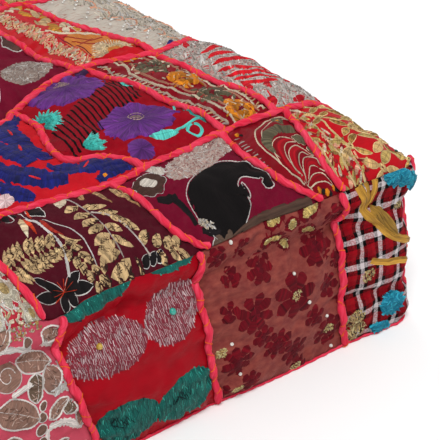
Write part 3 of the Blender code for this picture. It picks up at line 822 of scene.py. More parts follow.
def cord_cotton(name):
    """Soft rolled cotton strip with twisted fibres: ridges paler from wear and from painted
    highlight, grooves deeper pink as painted shade.
    """
    shader = Shader(name, 0.9, sheen=0.12)
    place = shader.attribute("weave")
    twist = shader.stretch(shader.turned(place, 0.35), 45.0, 420.0)
    twist = shader.noise(twist, 1.0, 4.0, 0.65)
    slow = shader.noise(place, 45.0, 2.0)
    # Pale on the twist's ridges and deeper pink in its grooves: partly wear, partly painted
    # highlight and painted shade
    base = shader.mix(shader.span(twist, 0.28, 0.66), (206, 14, 46), (255, 84, 112))
    base = shader.mix(shader.span(slow, 0.35, 0.70, 0.0, 0.5), base, (238, 28, 62))
    return shader.finish(base, twist, 0.6, 0.0009)


# ---- The cover, filled ----

def cover_index():
    """Point numbers of the cover's mesh: the top as a grid, and the wall as runs by heights."""
    n = SIM_CELLS
    top = np.arange((n + 1) ** 2).reshape(n + 1, n + 1)
    rim = np.concatenate((top[:n, 0], top[n, :n], top[n:0:-1, n], top[0, n:0:-1], top[:1, 0]))
    wall = np.zeros((4 * n + 1, SIM_ROWS + 1), dtype=int)
    wall[:-1, :SIM_ROWS] = (n + 1) ** 2 + np.arange(4 * n * SIM_ROWS).reshape(4 * n, SIM_ROWS)
    wall[-1] = wall[0]
    wall[:, SIM_ROWS] = rim
    return top, wall


def cover_mesh(top, wall, top_at, wall_at):
    """Points and faces of the closed cover, with a flat base."""
    middle = wall.max() + 1
    points = np.zeros((middle + 1, 3))
    points[wall.ravel()] = wall_at.reshape(-1, 3)
    points[top.ravel()] = top_at.reshape(-1, 3)
    faces = []
    for grid in (top, wall):
        quads = (grid[:-1, :-1], grid[1:, :-1], grid[1:, 1:], grid[:-1, 1:])
        faces += np.stack([corner.ravel() for corner in quads], axis=1).tolist()
    faces += [(int(b), int(a), int(middle)) for a, b in zip(wall[:-1, 0], wall[1:, 0])]
    return points, faces


def sewn(away):
    """How firmly the sewing holds the cloth at a distance from a cord."""
    return np.clip(1.0 - (away - SEWN_HALF) / SEWN_SOFT, 0.0, 1.0)


def pin_weights(top, wall, axis, run, heights):
    """How firmly the sewing holds each point: under the cords, on the waist and at the foot."""
    weights = np.zeros(wall.max() + 2)
    x, y = np.meshgrid(axis, axis, indexing="ij")
    weights[top.ravel()] = sewn(nearest(x, y, TOP_PATHS)).ravel()
    u, z = np.meshgrid(run, heights, indexing="ij")
    held = sewn(wall_distance(u, z))
    held = np.maximum(held, WAIST_HOLD * np.exp(-((z - WAIST_Z) / WAIST_LEN) ** 2))
    held = np.maximum(held, np.exp(-(z / FOOT_LEN) ** 2))
    weights[wall.ravel()] = np.maximum(weights[wall.ravel()], held.ravel())
    weights[-1] = 1.0
    return weights


def fill_cover(cover, weights):
    """Blow the sewn cover up a little with Blender's cloth, and return how far it moved."""
    group = cover.vertex_groups.new(name="sewn")
    for number, weight in enumerate(weights):
        if weight > 0.0:
            group.add([number], float(weight), "REPLACE")
    cloth = cover.modifiers.new("fill", "CLOTH")
    for key, value in FILLING.items():
        setattr(cloth.settings, key, value)
    cloth.settings.effector_weights.gravity = 0.0
    cloth.collision_settings.use_collision = False
    cloth.point_cache.frame_end = SIM_FRAMES
    rest = np.array([tuple(v.co) for v in cover.data.vertices])
    for number in range(1, SIM_FRAMES + 1):
        bpy.context.scene.frame_set(number)
    moved = cover.evaluated_get(bpy.context.evaluated_depsgraph_get()).data
    shift = np.array([tuple(v.co) for v in moved.vertices]) - rest
    cover.modifiers.remove(cloth)
    cover.vertex_groups.remove(group)
    bpy.context.scene.frame_set(1)
    far = np.linalg.norm(shift, axis=1, keepdims=True)
    return shift * (PUFF * np.tanh(far / PUFF) / np.maximum(far, NEAR_ZERO))


def puckers(run, away, seed):
    """Small gathers beside a join, by the place along it and the distance from it."""
    waves = wavy(run, seed, PUCKER_WAVES, PUCKER_GAIN)
    near = np.exp(-np.maximum(away, 0.0) / PUCKER_LEN) * np.clip(away / PUCKER_START, 0.0, 1.0)
    return PUCKER * waves * near


def crumple(u, v, seed):
    """Soft unevenness all over, as bent waves in seeded directions."""
    rng = np.random.default_rng(seed)
    total = np.zeros(np.shape(u))
    for length in CRUMPLE_WAVES:
        angle = rng.uniform(0.0, math.pi)
        along = u * math.cos(angle) + v * math.sin(angle)
        over = v * math.cos(angle) - u * math.sin(angle)
        bend = 2 * math.pi * over / (CRUMPLE_BEND_LEN * length) + rng.uniform(0.0, TURN)
        total = total + np.sin(2 * math.pi * along / length + CRUMPLE_BEND * np.sin(bend))
    return CRUMPLE * total / CRUMPLE_SHARE


def free_share(away):
    """How free the cloth is at a distance from the nearest join."""
    return np.clip(away / FREE_LEN, 0.0, 1.0)


def top_gathers(axis):
    """How the top's cloth lies up and down between and beside its joins."""
    x, y = np.meshgrid(axis, axis, indexing="ij")
    long_away = nearest(x, y, LONG_PATHS.values())
    cross_away = nearest(x, y, CROSSINGS)
    rim = HALF - np.maximum(np.abs(x), np.abs(y))
    free = free_share(np.minimum(rim, np.minimum(long_away, cross_away)))
    along_rim = np.where(np.abs(y) > np.abs(x), x, y)
    return (puckers(x + 0.3 * y, long_away, 3) + puckers(y - 0.3 * x, cross_away, 5)
            + 0.7 * puckers(along_rim, rim, 7) + free * crumple(x, y, 11))


def wall_gathers(run, heights):
    """The same for the wall."""
    u, z = np.meshgrid(run, heights, indexing="ij")
    away = wall_distance(u, z)
    rim = np.minimum(z, SEAM_Z - z)
    start = np.minimum(u, 4 * SIDE - u)
    gathers = puckers(z + 0.2 * u, away, 13) + 0.8 * puckers(u, rim, 17)
    free = free_share(np.minimum(np.minimum(rim, away), start))
    return free_share(start) * gathers + free * crumple(u, z, 19)


def push(grid, amount):
    """Move a grid of points along its own normals."""
    return grid + amount[..., None] * normals(grid)


def make_cover(material):
    """The plain filled cover under the patches, and the surfaces the patches are sewn on."""
    axis = np.linspace(-HALF, HALF, SIM_CELLS + 1)
    run = np.linspace(0.0, 4 * SIDE, 4 * SIM_CELLS + 1)
    heights = np.linspace(0.0, SEAM_Z, SIM_ROWS + 1)
    top, wall = cover_index()
    points, faces = cover_mesh(top, wall, top_points(axis, axis), wall_points(run, heights))
    cover = make_object("cover", points, faces, [material])
    shift = np.zeros(points.shape)
    shift = fill_cover(cover, pin_weights(top, wall, axis, run, heights))
    parts = round(SIDE / SIM_CELLS / GRID)
    fine_axis = np.linspace(-HALF, HALF, parts * SIM_CELLS + 1)
    fine_run = np.linspace(0.0, 4 * SIDE, 4 * parts * SIM_CELLS + 1)
    fine_heights = np.linspace(0.0, SEAM_Z, parts * SIM_ROWS + 1)
    top_grid = top_points(fine_axis, fine_axis)
    top_grid += refine(refine(shift[top], parts), parts, 1)
    wall_grid = wall_points(fine_run, fine_heights)
    wall_grid += refine(refine(shift[wall], parts, closed=True), parts, 1)
    top_grid = push(top_grid, top_gathers(fine_axis))
    wall_grid = push(wall_grid, wall_gathers(fine_run, fine_heights))
    wall_grid[..., 2] = np.maximum(wall_grid[..., 2], 0.0)
    past = parts * SIM_CELLS // 2
    wide = np.concatenate((wall_grid[-1 - past:-1], wall_grid, wall_grid[1:1 + past]))
    step = (fine_axis[1] - fine_axis[0], fine_heights[1] - fine_heights[0])
    top_surface = Surface(top_grid, (-HALF, -HALF), (step[0], step[0]))
    wall_surface = Surface(wide, (-past * step[0], 0.0), step)
    low_top = top_grid - BODY_DEPTH * top_surface.normals
    low_wall = (wide - BODY_DEPTH * wall_surface.normals)[past:-past]
    points, _ = cover_mesh(top, wall, low_top[::parts, ::parts], low_wall[::parts, ::parts])
    points[wall[:, 0], 2] = 0.0
    cover.data.vertices.foreach_set("co", points.ravel())
    cover.data.update()
    store(cover, "weave", points)
    return cover, top_surface, wall_surface


# ---- Patches ----

SHARES = np.linspace(0.0, 1.0, 121)
EDGE_STEP = 0.001
OUTSIDE = 1e-6         # share of a patch past its edge that still counts as inside
FEWEST = 4             # the smallest patch still has this many faces across it


class Patch:
    """A patch between two joins at its sides and two below and above it."""

    def __init__(self, name, surface, left, right, low, high):
        """Its four joins are paths on the surface."""
        self.name = name
        self.surface = surface
        self.low = low
        self.high = high
        self.sides = [self.shared(edge) for edge in (left, right)]

    def height_at(self, u):
        """Places of the low join and the high one at places across the patch."""
        return tuple(np.interp(u, edge[:, 0], edge[:, 1]) for edge in (self.low, self.high))

    def shared(self, edge):
        """Places of a side join by its share of the way from the low join to the high one."""
        fine = even_steps(edge, EDGE_STEP)
        low, high = self.height_at(fine[:, 0])
        share = (fine[:, 1] - low) / (high - low)
        order = np.argsort(share)
        return np.interp(SHARES, share[order], fine[order, 0])

    def places(self, a, b):
        """Places on the cover from shares across and up the patch."""
        left, right = (np.interp(b, SHARES, side) for side in self.sides)
        u = left + (right - left) * a
        low, high = self.height_at(u)
        return u, low + (high - low) * b

    def held(self, u, v):
        """The same places, held inside the patch, and which of them were outside."""
        low, high = self.height_at(u)
        b = (v - low) / (high - low)
        inside_b = np.clip(b, 0.0, 1.0)
        left, right = (np.interp(inside_b, SHARES, side) for side in self.sides)
        a = (u - left) / (right - left)
        inside_a = np.clip(a, 0.0, 1.0)
        in_u, in_v = self.places(inside_a, inside_b)
        out = np.maximum(np.abs(a - inside_a), np.abs(b - inside_b)) > OUTSIDE
        return in_u, in_v, out

    def size(self):
        """Middle width and height of the patch."""
        u, v = self.places(np.array((0.0, 1.0, 0.5, 0.5)), np.array((0.5, 0.5, 0.0, 1.0)))
        return u[1] - u[0], v[3] - v[2]

    def middle(self):
        """The place of the patch's middle."""
        u, v = self.places(np.array((0.5,)), np.array((0.5,)))
        return float(u[0]), float(v[0])

    def cloth(self, material, cover):
        """The patch's cloth, its edges turned under."""
        width, height = self.size()
        columns = max(int(round(height / GRID)), FEWEST) + 1
        rows = max(int(round(width / GRID)), FEWEST) + 1
        a, b = np.meshgrid(np.linspace(0.0, 1.0, rows), np.linspace(0.0, 1.0, columns),
                           indexing="ij")
        u, v = self.places(a, b)
        lift = np.zeros(a.shape)
        for edge in (lift[0], lift[-1], lift[:, 0], lift[:, -1]):
            edge[:] = -TUCK
        points = self.surface.at(u, v, lift)
        points[..., 2] = np.maximum(points[..., 2], PATCH_LOW)
        item = make_object("patch_" + self.name, points.reshape(-1, 3),
                           grid_faces(rows, columns).tolist(), [material])
        store(item, "weave", places_at(u, v))
        store_map(item, np.stack((a.ravel(), b.ravel()), axis=1))
        item.parent = cover
        return item


def to_rims(path):
    """A path over the top, carried on level to the rims at its left and right."""
    return np.vstack(([-HALF, path[0, 1]], path, [HALF, path[-1, 1]]))


def side_line(x, low, high):
    """A patch's edge along the left or right rim."""
    return np.array(((x, low), (x, high)))


def top_patches(surface):
    """Every patch of the top, row by row from the front, left to right."""
    rims = [np.array(((-HALF, y), (HALF, y))) for y in (-HALF, HALF)]
    rows = [to_rims(path) for path in (rims[0], *LONG_PATHS.values(), rims[1])]
    found = []
    for number, cords in enumerate(CROSS_PATHS):
        low, high = rows[number:number + 2]
        left_rim = side_line(-HALF, low[0, 1], high[0, 1])
        right_rim = side_line(HALF, low[-1, 1], high[-1, 1])
        edges = [left_rim, *cords.values(), right_rim]
        for column, (left, right) in enumerate(zip(edges[:-1], edges[1:])):
            name = "r%d_%d" % (number + 1, column)
            found.append(Patch(name, surface, left, right, low, high))
    return found


def on_wall(k, path):
    """A path on one side of the wall, with its places as runs round the whole wall."""
    return path + np.array((SIDE * k + HALF, 0.0))


def wall_patches(surface):
    """Every patch of the wall, from the front left corner round, each from one cord on."""
    edges = []
    for k, cords in enumerate(UPRIGHT_PATHS.values()):
        edges += [on_wall(k, path) for path in cords.values()]
    first = edges[-1] - np.array((4 * SIDE, 0.0))
    low, high = (np.array(((-SIDE, z), (5 * SIDE, z))) for z in (0.0, SEAM_Z))
    return [Patch("w%02d" % number, surface, left, right, low, high)
            for number, (left, right) in enumerate(zip([first] + edges[:-1], edges))]


# ---- Cords ----

def cord_radius(run, turn, stitches, seed):
    """Radius of a lumpy rolled cord along its run and round it, drawn in at each stitch."""
    lumps = wavy(run, seed, CORD_LUMPS, 0.2)
    folds = 0.06 * np.sin(2 * turn + run * 260.0 + seed) + 0.05 * np.sin(3 * turn - run * 470.0)
    flat = 0.90 + 0.10 * np.cos(2 * turn)
    drawn = np.zeros(run.shape)
    for at in stitches:
        drawn = drawn + np.exp(-((run - at - STITCH_LEAN * np.cos(turn)) / STITCH_DRAW) ** 2)
    return CORD_R * flat * (1.0 + lumps + folds - 0.2 * np.minimum(drawn, 1.0))


class Cord:
    """A soft rolled cord along a path on the cover."""

    def __init__(self, surface, path, seed):
        """Find the cord's line and its directions; seed sets how it strays and its lumps."""
        self.seed = seed
        fine = even_steps(path, CORD_STEP)
        self.run = run_along(fine)
        sway = wavy(self.run, seed + 7, CORD_SWAYS, CORD_SWAY)
        lean = unit(np.gradient(fine[:, :2], axis=0))
        u = fine[:, 0] - lean[:, 1] * sway
        v = fine[:, 1] + lean[:, 0] * sway
        self.middle, on_top, under = (surface.at(u, v, np.full(len(u), height))
                                      for height in (CORD_RISE, 1.0, 0.0))
        self.ahead = unit(np.gradient(self.middle, axis=0))
        self.side = unit(np.cross(self.ahead, on_top - under))
        self.up = np.cross(self.side, self.ahead)

    def ring(self, row, radii, angles):
        """Points round the cord's line, by the row of the line, distance from it and angle."""
        return (self.middle[row] + radii[..., None] * (np.cos(angles)[..., None] * self.side[row]
                                                       + np.sin(angles)[..., None] * self.up[row]))

    def body(self, stitches):
        """The cord itself, as a grid of points, and their places in its material."""
        turn = np.linspace(0.0, 2 * math.pi, CORD_SIDES + 1)
        runs, turns = np.meshgrid(self.run, turn, indexing="ij")
        radius = cord_radius(runs, turns, stitches, self.seed)
        ends = np.minimum(runs, self.run[-1] - runs)
        radius = radius * np.sqrt(np.clip(ends / CORD_END + 0.15, 0.0, 1.0))
        rows = np.broadcast_to(np.arange(len(self.run))[:, None], runs.shape)
        return self.ring(rows, radius, turns), places_at(runs, turns * CORD_R, 0.1 * self.seed)

    def stitch(self, at, stitches, rng):
        """One thread over the cord, in the same form."""
        start, end = (rng.uniform(*limits) for limits in STITCH_ARCS)
        arc = np.linspace(start, end, STITCH_ROWS)
        slant = rng.uniform(*STITCH_SLANT) * rng.choice((1.0, 1.0, -1.0))
        half = rng.uniform(*STITCH_HALF)
        angle, across = np.meshgrid(arc, (-1.0, 0.0, 1.0), indexing="ij")
        where = at + slant * np.cos(angle) + half * across
        last = len(self.run) - 1
        row = np.clip(np.rint(where / self.run[-1] * last).astype(int), 0, last)
        share = (where - self.run[row])[..., None] * self.ahead[row]
        lift = cord_radius(where, angle, stitches, self.seed)
        lift = lift + STITCH_RISE * (1.0 - 0.9 * across ** 2)
        return self.ring(row, lift, angle) + share, places_at(angle * 0.003, where)


def make_cord(name, surface, path, materials, cover, node, seed):
    """A cord with orange stitches over it, in place of one solid."""
    rng = np.random.default_rng(seed)
    cord = Cord(surface, path, seed)
    first, last = STITCH_ENDS
    stitches = np.arange(first, cord.run[-1] - last, STITCH_STEP)
    stitches = stitches + rng.uniform(-STITCH_STRAY, STITCH_STRAY, len(stitches))
    parts = [cord.body(stitches)] + [cord.stitch(at, stitches, rng) for at in stitches]
    faces = grid_faces(len(cord.run), CORD_SIDES + 1)[:, ::-1].tolist()
    cap = (len(cord.run) - 1) * (CORD_SIDES + 1)
    faces.append(list(range(CORD_SIDES)))
    faces.append(list(range(cap, cap + CORD_SIDES))[::-1])
    kinds = [0] * len(faces)
    count = len(cord.run) * (CORD_SIDES + 1)
    for _ in stitches:
        stitch = grid_faces(STITCH_ROWS, 3, count)[:, ::-1].tolist()
        faces += stitch
        kinds += [1] * len(stitch)
        count += 3 * STITCH_ROWS
    points, places = (np.concatenate([part[k].reshape(-1, 3) for part in parts])
                      for k in range(2))
    points[:, 2] = np.maximum(points[:, 2], CORD_LOW)
    item = make_object(name, points, faces, materials, kinds)
    store(item, "weave", places)
    item.parent = cover
    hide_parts(node)


# ---- Stitching ----

FLOSS, METAL, BEAD, FELT = range(4)
MAP_EDGE = 0.08        # clear share round a stitch's own place in the texture map
FEW = 4                # grids laid more than this at once have small places in that map
EDGE_DROP = 0.12       # how far a stitch's edges go under the cloth, in millimetres
OUT_DROP = -0.6        # the height of what is outside its patch
LINE_RISE = 4.5        # a thread's height in millimetres for a centimetre of its width
EDGE_RISE = 8.0        # the same for an outline
BEAT = 0.22            # length of one chain stitch of an outline
VEIN_WIDTH = 0.06
VEIN_LIFT = 0.25       # height of a vein over its leaf, in millimetres
THINNEST = 0.012       # half width of the thinnest thread, in centimetres
NARROW = 0.14          # a strip with a half width under this has just two faces across
LINE_STEP = 0.11
OUTLINE_STEP = 0.12
LEAF_POINTS = 7        # points along a leaf's middle
DISC_SHADE = 0.1       # how unevenly discs and single stitches take their colour
STITCH_SHADE = 0.09
OVERLAP = 0.92         # from one stitch of a row to the next, in stitches
SPREAD = (0.25, 0.3)   # how far stitches stray along their row and across it
KEPT_IN = 0.4          # share of a stitch either way that has to be inside the shape
LENGTHS = (0.7, 1.25)
SMALL = 4              # small grids along each side of a shared cell of the texture map
UNEVEN = (0.6, 1.4)    # how dark or pale a thread may be beside its own colour
GRIT = 0.09            # width of a stitch of glitter
RING = np.linspace(0.0, 2 * math.pi, 9)[None, None, :]
BEAD_RINGS = np.radians((-8.0, 25.0, 55.0, 85.0))[None, :, None]


def heading(angle):
    """The direction at an angle."""
    return np.array((math.cos(angle), math.sin(angle)))


class Stitching:
    """One patch's embroidery, laid out in centimetres on the cover and raised in millimetres."""

    def __init__(self, patch, seed, home=None, turn=0, mirror=False, dye=None, parts=1):
        """home is the design's own patch; another patch has it turned, mirrored or dyed."""
        self.patch = patch
        self.rng = np.random.default_rng(seed)
        self.dye = dye or {}
        self.blocks = []
        self.home = home
        self.parts = parts
        self.part = 0
        if home:
            width, height = patch.size()
            width = width / parts
            if turn % 2:
                width, height = height, width
            wide, high = home.size()
            self.scale = (width / wide * (-1.0 if mirror else 1.0), height / high)
            self.cos = round(math.cos(0.5 * math.pi * turn))
            self.sin = round(math.sin(0.5 * math.pi * turn))

    def spot(self, x, y):
        """Places on the cover, in metres, of places in the design, in centimetres."""
        if not self.home:
            return x * CM, y * CM
        home, middle = self.home.middle(), self.patch.middle()
        a = (x * CM - home[0]) * self.scale[0]
        b = (y * CM - home[1]) * self.scale[1]
        shift = ((self.part + 0.5) / self.parts - 0.5) * self.patch.size()[0]
        return (middle[0] + shift + self.cos * a - self.sin * b,
                middle[1] + self.sin * a + self.cos * b)

    def dyed(self, colour):
        """The colour that a design's colour has on this patch."""
        if isinstance(colour, tuple):
            colour = self.dye.get(colour, colour)
        return np.asarray(colour, dtype=float)

    def lay(self, x, y, rise, along, across, colour, kind):
        """Keep some grids of points, as arrays of grids by rows by columns."""
        shape = x.shape
        colour = np.broadcast_to(self.dyed(colour), shape + (3,))
        loose = self.rng.uniform(0.0, 1.0, (shape[0], 1, 1))
        threads = [np.broadcast_to(value, shape) for value in (along * CM, across * CM, loose)]
        lay = np.stack(threads, axis=-1)
        self.blocks.append((x, y, np.broadcast_to(rise, shape), lay, colour, kind))

    def strip(self, path, colour, half=None, rise=0.6, kind=FLOSS, across=4, step=0.15,
              satin=True, ragged=0.0, shade=0.12, toward=None, beat=0.0, bend=True):
        """A domed strip of thread along a path. A third column in the path is its half width."""
        points = np.array(path, dtype=float)
        if half is not None:
            points = np.column_stack((points[:, :2], np.broadcast_to(half, len(points))))
        line = even_steps(smooth_path(points) if bend else points, step)
        run = run_along(line)
        lean = unit(np.gradient(line[:, :2], axis=0))
        wide = np.maximum(line[:, 2], THINNEST)
        lift = np.ones(len(run))
        if beat:
            # Drawn in between one chain stitch and the next
            pulse = np.abs(np.sin(math.pi * run / beat))
            wide = wide * (0.62 + 0.38 * pulse)
            lift = 0.5 + 0.5 * pulse
        # Rounded off at both ends, and domed across with its edges under the cloth
        ends = np.minimum(run, run[-1] - run) / max(0.7 * wide.max(), 0.04)
        lift = lift * np.sqrt(np.clip(ends + 0.1, 0.0, 1.0))
        across = 2 if wide.max() < NARROW else max(across, 2 * int(wide.max() / 0.25))
        q = np.linspace(-1.0, 1.0, across + 1)
        reach = wide[:, None] * q
        if ragged:
            loose = self.rng.uniform(-1.0, 1.0, (len(run), 2))
            reach = reach * (1.0 + ragged * loose[:, (q > 0) * 1])
        x = line[:, :1] - lean[:, 1:] * reach
        y = line[:, 1:2] + lean[:, :1] * reach
        dome = np.clip((1.0 - np.abs(q)) * max(wide.max() / 0.1, 1.6), 0.0, 1.0) ** 0.6
        height = rise * lift[:, None] * dome - EDGE_DROP * (np.abs(q) > 0.99)
        tone = self.dyed(colour) * np.ones((len(run), 1, 1))
        if toward is not None:
            share = (run / run[-1])[:, None, None]
            tone = tone * (1 - share) + self.dyed(toward) * share
        uneven = self.rng.normal(1.0, shade, (len(run), 1) if satin else (1, across + 1))
        tone = np.clip(tone * np.clip(uneven, *UNEVEN)[..., None], 0, 255)
        along, over = (reach, run[:, None]) if satin else (run[:, None], reach)
        self.lay(x[None], y[None], height[None], along[None], over[None], tone[None], kind)

    def line(self, path, colour, width=0.1, rise=None, kind=FLOSS, beat=0.0, bend=True):
        """A couched or chain stitched line."""
        points = np.array(path, dtype=float)[:, :2]
        rise = LINE_RISE * width if rise is None else rise
        self.strip(points, colour, 0.5 * width, rise, kind, 2, LINE_STEP, False, shade=0.06,
                   beat=beat, bend=bend)

    def edge(self, path, colour, width=0.09, grow=0.0):
        """A line round the outline of a strip's path."""
        line = even_steps(smooth_path(path), OUTLINE_STEP)
        lean = unit(np.gradient(line[:, :2], axis=0))
        side = np.column_stack((-lean[:, 1], lean[:, 0])) * (np.maximum(line[:, 2:], 0.01) + grow)
        ring = np.vstack((line[:, :2] + side, (line[:, :2] - side)[::-1]))
        self.line(np.vstack((ring, ring[:1])), colour, width, EDGE_RISE * width, beat=BEAT,
                  bend=False)

    def leaf(self, base, tip, width, colour, bend=0.0, vein=None, edge=None, rise=0.6,
             kind=FLOSS, satin=True, full=0.8, ragged=0.06, toward=None, blunt=0.75,
             edge_width=0.07, across=4, step=0.15, shade=0.12):
        """A leaf or petal from its base to its tip."""
        base = np.array(base, dtype=float)
        way = np.array(tip, dtype=float) - base
        t = np.linspace(0.0, 1.0, LEAF_POINTS)
        bow = np.array((-way[1], way[0])) * bend * np.sin(math.pi * t)[:, None]
        middle = base + way * t[:, None] + bow
        half = 0.5 * width * np.maximum(np.sin(math.pi * t ** full), 0.0) ** blunt
        path = np.column_stack((middle, half))
        self.strip(path, colour, None, rise, kind, across, step, satin, ragged, shade, toward)
        if vein is not None:
            self.line(middle[1:-1], vein, VEIN_WIDTH, rise=rise + VEIN_LIFT)
        if edge is not None:
            self.edge(path, edge, edge_width)

    def flower(self, centre, radius, count, colour, width=None, turn=0.0, inner=0.2,
               heart=None, edge=None, vary=0.12, full=1.25, **kwargs):
        """Petals round a centre."""
        width = width or 2.2 * radius * math.sin(math.pi / count)
        centre = np.array(centre, dtype=float)
        for k in range(count):
            angle = turn + 2 * math.pi * k / count + self.rng.uniform(-vary, vary)
            reach = radius * self.rng.uniform(1 - vary, 1 + 0.5 * vary)
            way = heading(angle)
            self.leaf(centre + way * inner * reach, centre + way * reach, width, colour,
                      full=full, edge=edge, **kwargs)
        if heart is not None:
            self.dot(centre, heart[1], heart[0])

    def dot(self, centre, radius, colour, rise=0.9):
        """A small round knot."""
        x, y = centre
        path = [(x + share * radius, y, half * radius)
                for share, half in ((-1, 0.3), (-0.5, 0.86), (0, 1), (0.5, 0.86), (1, 0.3))]
        self.strip(path, colour, rise=rise, step=0.1)

    def blade(self, middle, half, angle, width, colour, **kwargs):
        """A leaf given by its middle, half its length and its angle."""
        way = half * heading(angle)
        self.leaf(np.array(middle) - way, np.array(middle) + way, width, colour, **kwargs)

    def palette(self, colours):
        """Some colours as they are on this patch."""
        return np.array([self.dyed(colour) for colour in colours])

    def disc(self, centre, half_long, half_wide, colour, turn=0.0, inner=None, grain=None,
             lobes=0, notch=0.1, point=0.0, rise=0.5, kind=FLOSS, ragged=0.03, edge=None,
             edge_width=0.09, sectors=56):
        """A filled round shape, with lobes or a pointed end. grain is the threads' direction."""
        angle = np.linspace(0.0, 2 * math.pi, sectors + 1)
        rings = max(int(half_long / 0.2), 4)
        out = np.linspace(0.0, 1.0, rings + 1)
        rim = 1.0 + self.rng.uniform(-ragged, ragged, sectors + 1)
        rim[-1] = rim[0]
        if lobes:
            rim = rim * (1.0 - notch * np.abs(np.cos(0.5 * lobes * angle)) ** 6)
        rim = rim * (1.0 + point * np.maximum(np.cos(angle), 0.0) ** 12)
        a = half_long * np.outer(rim * np.cos(angle), out)
        b = half_wide * np.outer(rim * np.sin(angle), out)
        x = centre[0] + a * math.cos(turn) - b * math.sin(turn)
        y = centre[1] + a * math.sin(turn) + b * math.cos(turn)
        height = rise * np.clip((1.0 - out) * half_wide / 0.1, 0.0, 1.0) ** 0.6
        height = height - EDGE_DROP * (out > 0.99)
        if grain is None:
            along = half_long * out[None]
            over = 0.6 * half_long * angle[:, None]
            uneven = self.rng.normal(1.0, DISC_SHADE, (sectors + 1, 1))
            uneven[-1] = uneven[0]
        else:
            along = x * math.cos(grain) + y * math.sin(grain)
            over = y * math.cos(grain) - x * math.sin(grain)
            uneven = self.rng.normal(1.0, 0.4 * DISC_SHADE, a.shape)
        tone = self.dyed(colour) * np.ones(a.shape + (1,))
        if inner is not None:
            share = out[None, :, None] ** 0.8
            tone = tone * share + self.dyed(inner) * (1 - share)
        tone = np.clip(tone * np.clip(uneven, *UNEVEN)[..., None], 0, 255)
        self.lay(x[None], y[None], height[None, None], along[None], over[None], tone[None], kind)
        if edge is not None:
            self.line(np.column_stack((x[::2, -1], y[::2, -1])), edge, edge_width, beat=BEAT)

    def stitches(self, x, y, turn, length, width, colour, rise=0.35, kind=FLOSS):
        """Many single stitches at once."""
        x, y, turn, length = (np.broadcast_to(np.asarray(value, dtype=float), np.shape(x))
                              for value in (x, y, turn, length))
        r = np.array((-0.5, 0.5))[None, :, None]
        c = np.array((-1.0, 0.0, 1.0))[None, None, :]
        along = length[:, None, None] * r
        over = 0.5 * width * c
        cos = np.cos(turn)[:, None, None]
        sin = np.sin(turn)[:, None, None]
        height = rise * (c == 0) - EDGE_DROP * (c != 0)
        tone = self.dyed(colour) * self.rng.normal(1.0, STITCH_SHADE, (len(x), 1))
        self.lay(x[:, None, None] + cos * along - sin * over,
                 y[:, None, None] + sin * along + cos * over, height, along, over,
                 np.clip(tone, 0, 255)[:, None, None, :], kind)

    def cover(self, inside, limits, turn, pitch, length, width, colours, rise=0.35, kind=FLOSS,
              keep=0.9, stray=0.12):
        """Rows of stitches over a shape, kept where inside says so. limits is a box round it."""
        x0, y0, x1, y1 = limits
        reach = 0.5 * math.hypot(x1 - x0, y1 - y0)
        rows = np.arange(-reach, reach, pitch)
        steps = np.arange(-reach, reach, length * OVERLAP)
        over, along = (grid.ravel() for grid in np.meshgrid(rows, steps, indexing="ij"))
        count = len(over)
        along = along + np.repeat(self.rng.uniform(0, length, len(rows)), len(steps))
        along = along + self.rng.uniform(-SPREAD[0], SPREAD[0], count) * length
        over = over + self.rng.uniform(-SPREAD[1], SPREAD[1], count) * pitch
        x = 0.5 * (x0 + x1) + math.cos(turn) * along - math.sin(turn) * over
        y = 0.5 * (y0 + y1) + math.sin(turn) * along + math.cos(turn) * over
        ends = KEPT_IN * length * heading(turn)
        took = inside(x - ends[0], y - ends[1]) & inside(x + ends[0], y + ends[1])
        took = took & (self.rng.uniform(0, 1, count) < keep)
        x, y = x[took], y[took]
        if len(x) == 0:
            return
        pick = self.rng.integers(0, len(colours), len(x))
        self.stitches(x, y, turn + self.rng.normal(0, stray, len(x)),
                      length * self.rng.uniform(*LENGTHS, len(x)), width,
                      self.palette(colours)[pick], rise, kind)

    def oval(self, centre, half_long, half_wide, tilt, reach, *laid, **kwargs):
        """Rows of stitches over an oval, inside a square that reaches this far from it."""
        x, y = centre
        self.cover(in_oval(centre, half_long, half_wide, tilt),
                   (x - reach, y - reach, x + reach, y + reach), *laid, **kwargs)

    def glitter(self, centre, half_long, half_wide, turn, colours, count=60, rise=0.55):
        """A cluster of small bright metal stitches in an oval."""
        rng = self.rng
        angle = rng.uniform(0, 2 * math.pi, count)
        out = np.sqrt(rng.uniform(0, 1, count))
        a = half_long * out * np.cos(angle)
        b = half_wide * out * np.sin(angle)
        x = centre[0] + math.cos(turn) * a - math.sin(turn) * b
        y = centre[1] + math.sin(turn) * a + math.cos(turn) * b
        pick = self.palette(colours)[rng.integers(0, len(colours), count)]
        self.stitches(x, y, rng.uniform(0, math.pi, count), 1.6 * GRIT, GRIT, pick, rise, METAL)

    def beads(self, places, radius, colour):
        """Round beads or pearls."""
        places = np.array(places, dtype=float).reshape(-1, 2)
        x = places[:, 0, None, None] + radius * np.cos(BEAD_RINGS) * np.cos(RING)
        y = places[:, 1, None, None] + radius * np.cos(BEAD_RINGS) * np.sin(RING)
        height = CM / MM * radius * (0.35 + np.sin(BEAD_RINGS))
        self.lay(x, y, height, radius * RING, radius * BEAD_RINGS, colour, BEAD)

    def map_places(self, number, fine, first, across, rows, columns):
        """Each grid's own places in the texture map, where small grids share a cell."""
        cell = first + number if fine else SMALL ** 2 * (first + number)
        whole, share = cell // SMALL ** 2, cell % SMALL ** 2
        size = (1 / SMALL if fine else 1.0) / across
        corner = np.stack((whole // across + share // SMALL / SMALL * fine,
                           whole % across + share % SMALL / SMALL * fine), axis=-1) / across
        span = np.stack(np.meshgrid(np.linspace(MAP_EDGE, 1 - MAP_EDGE, rows),
                                    np.linspace(MAP_EDGE, 1 - MAP_EDGE, columns),
                                    indexing="ij"), axis=-1)
        return corner[:, None, None, :] + size * span

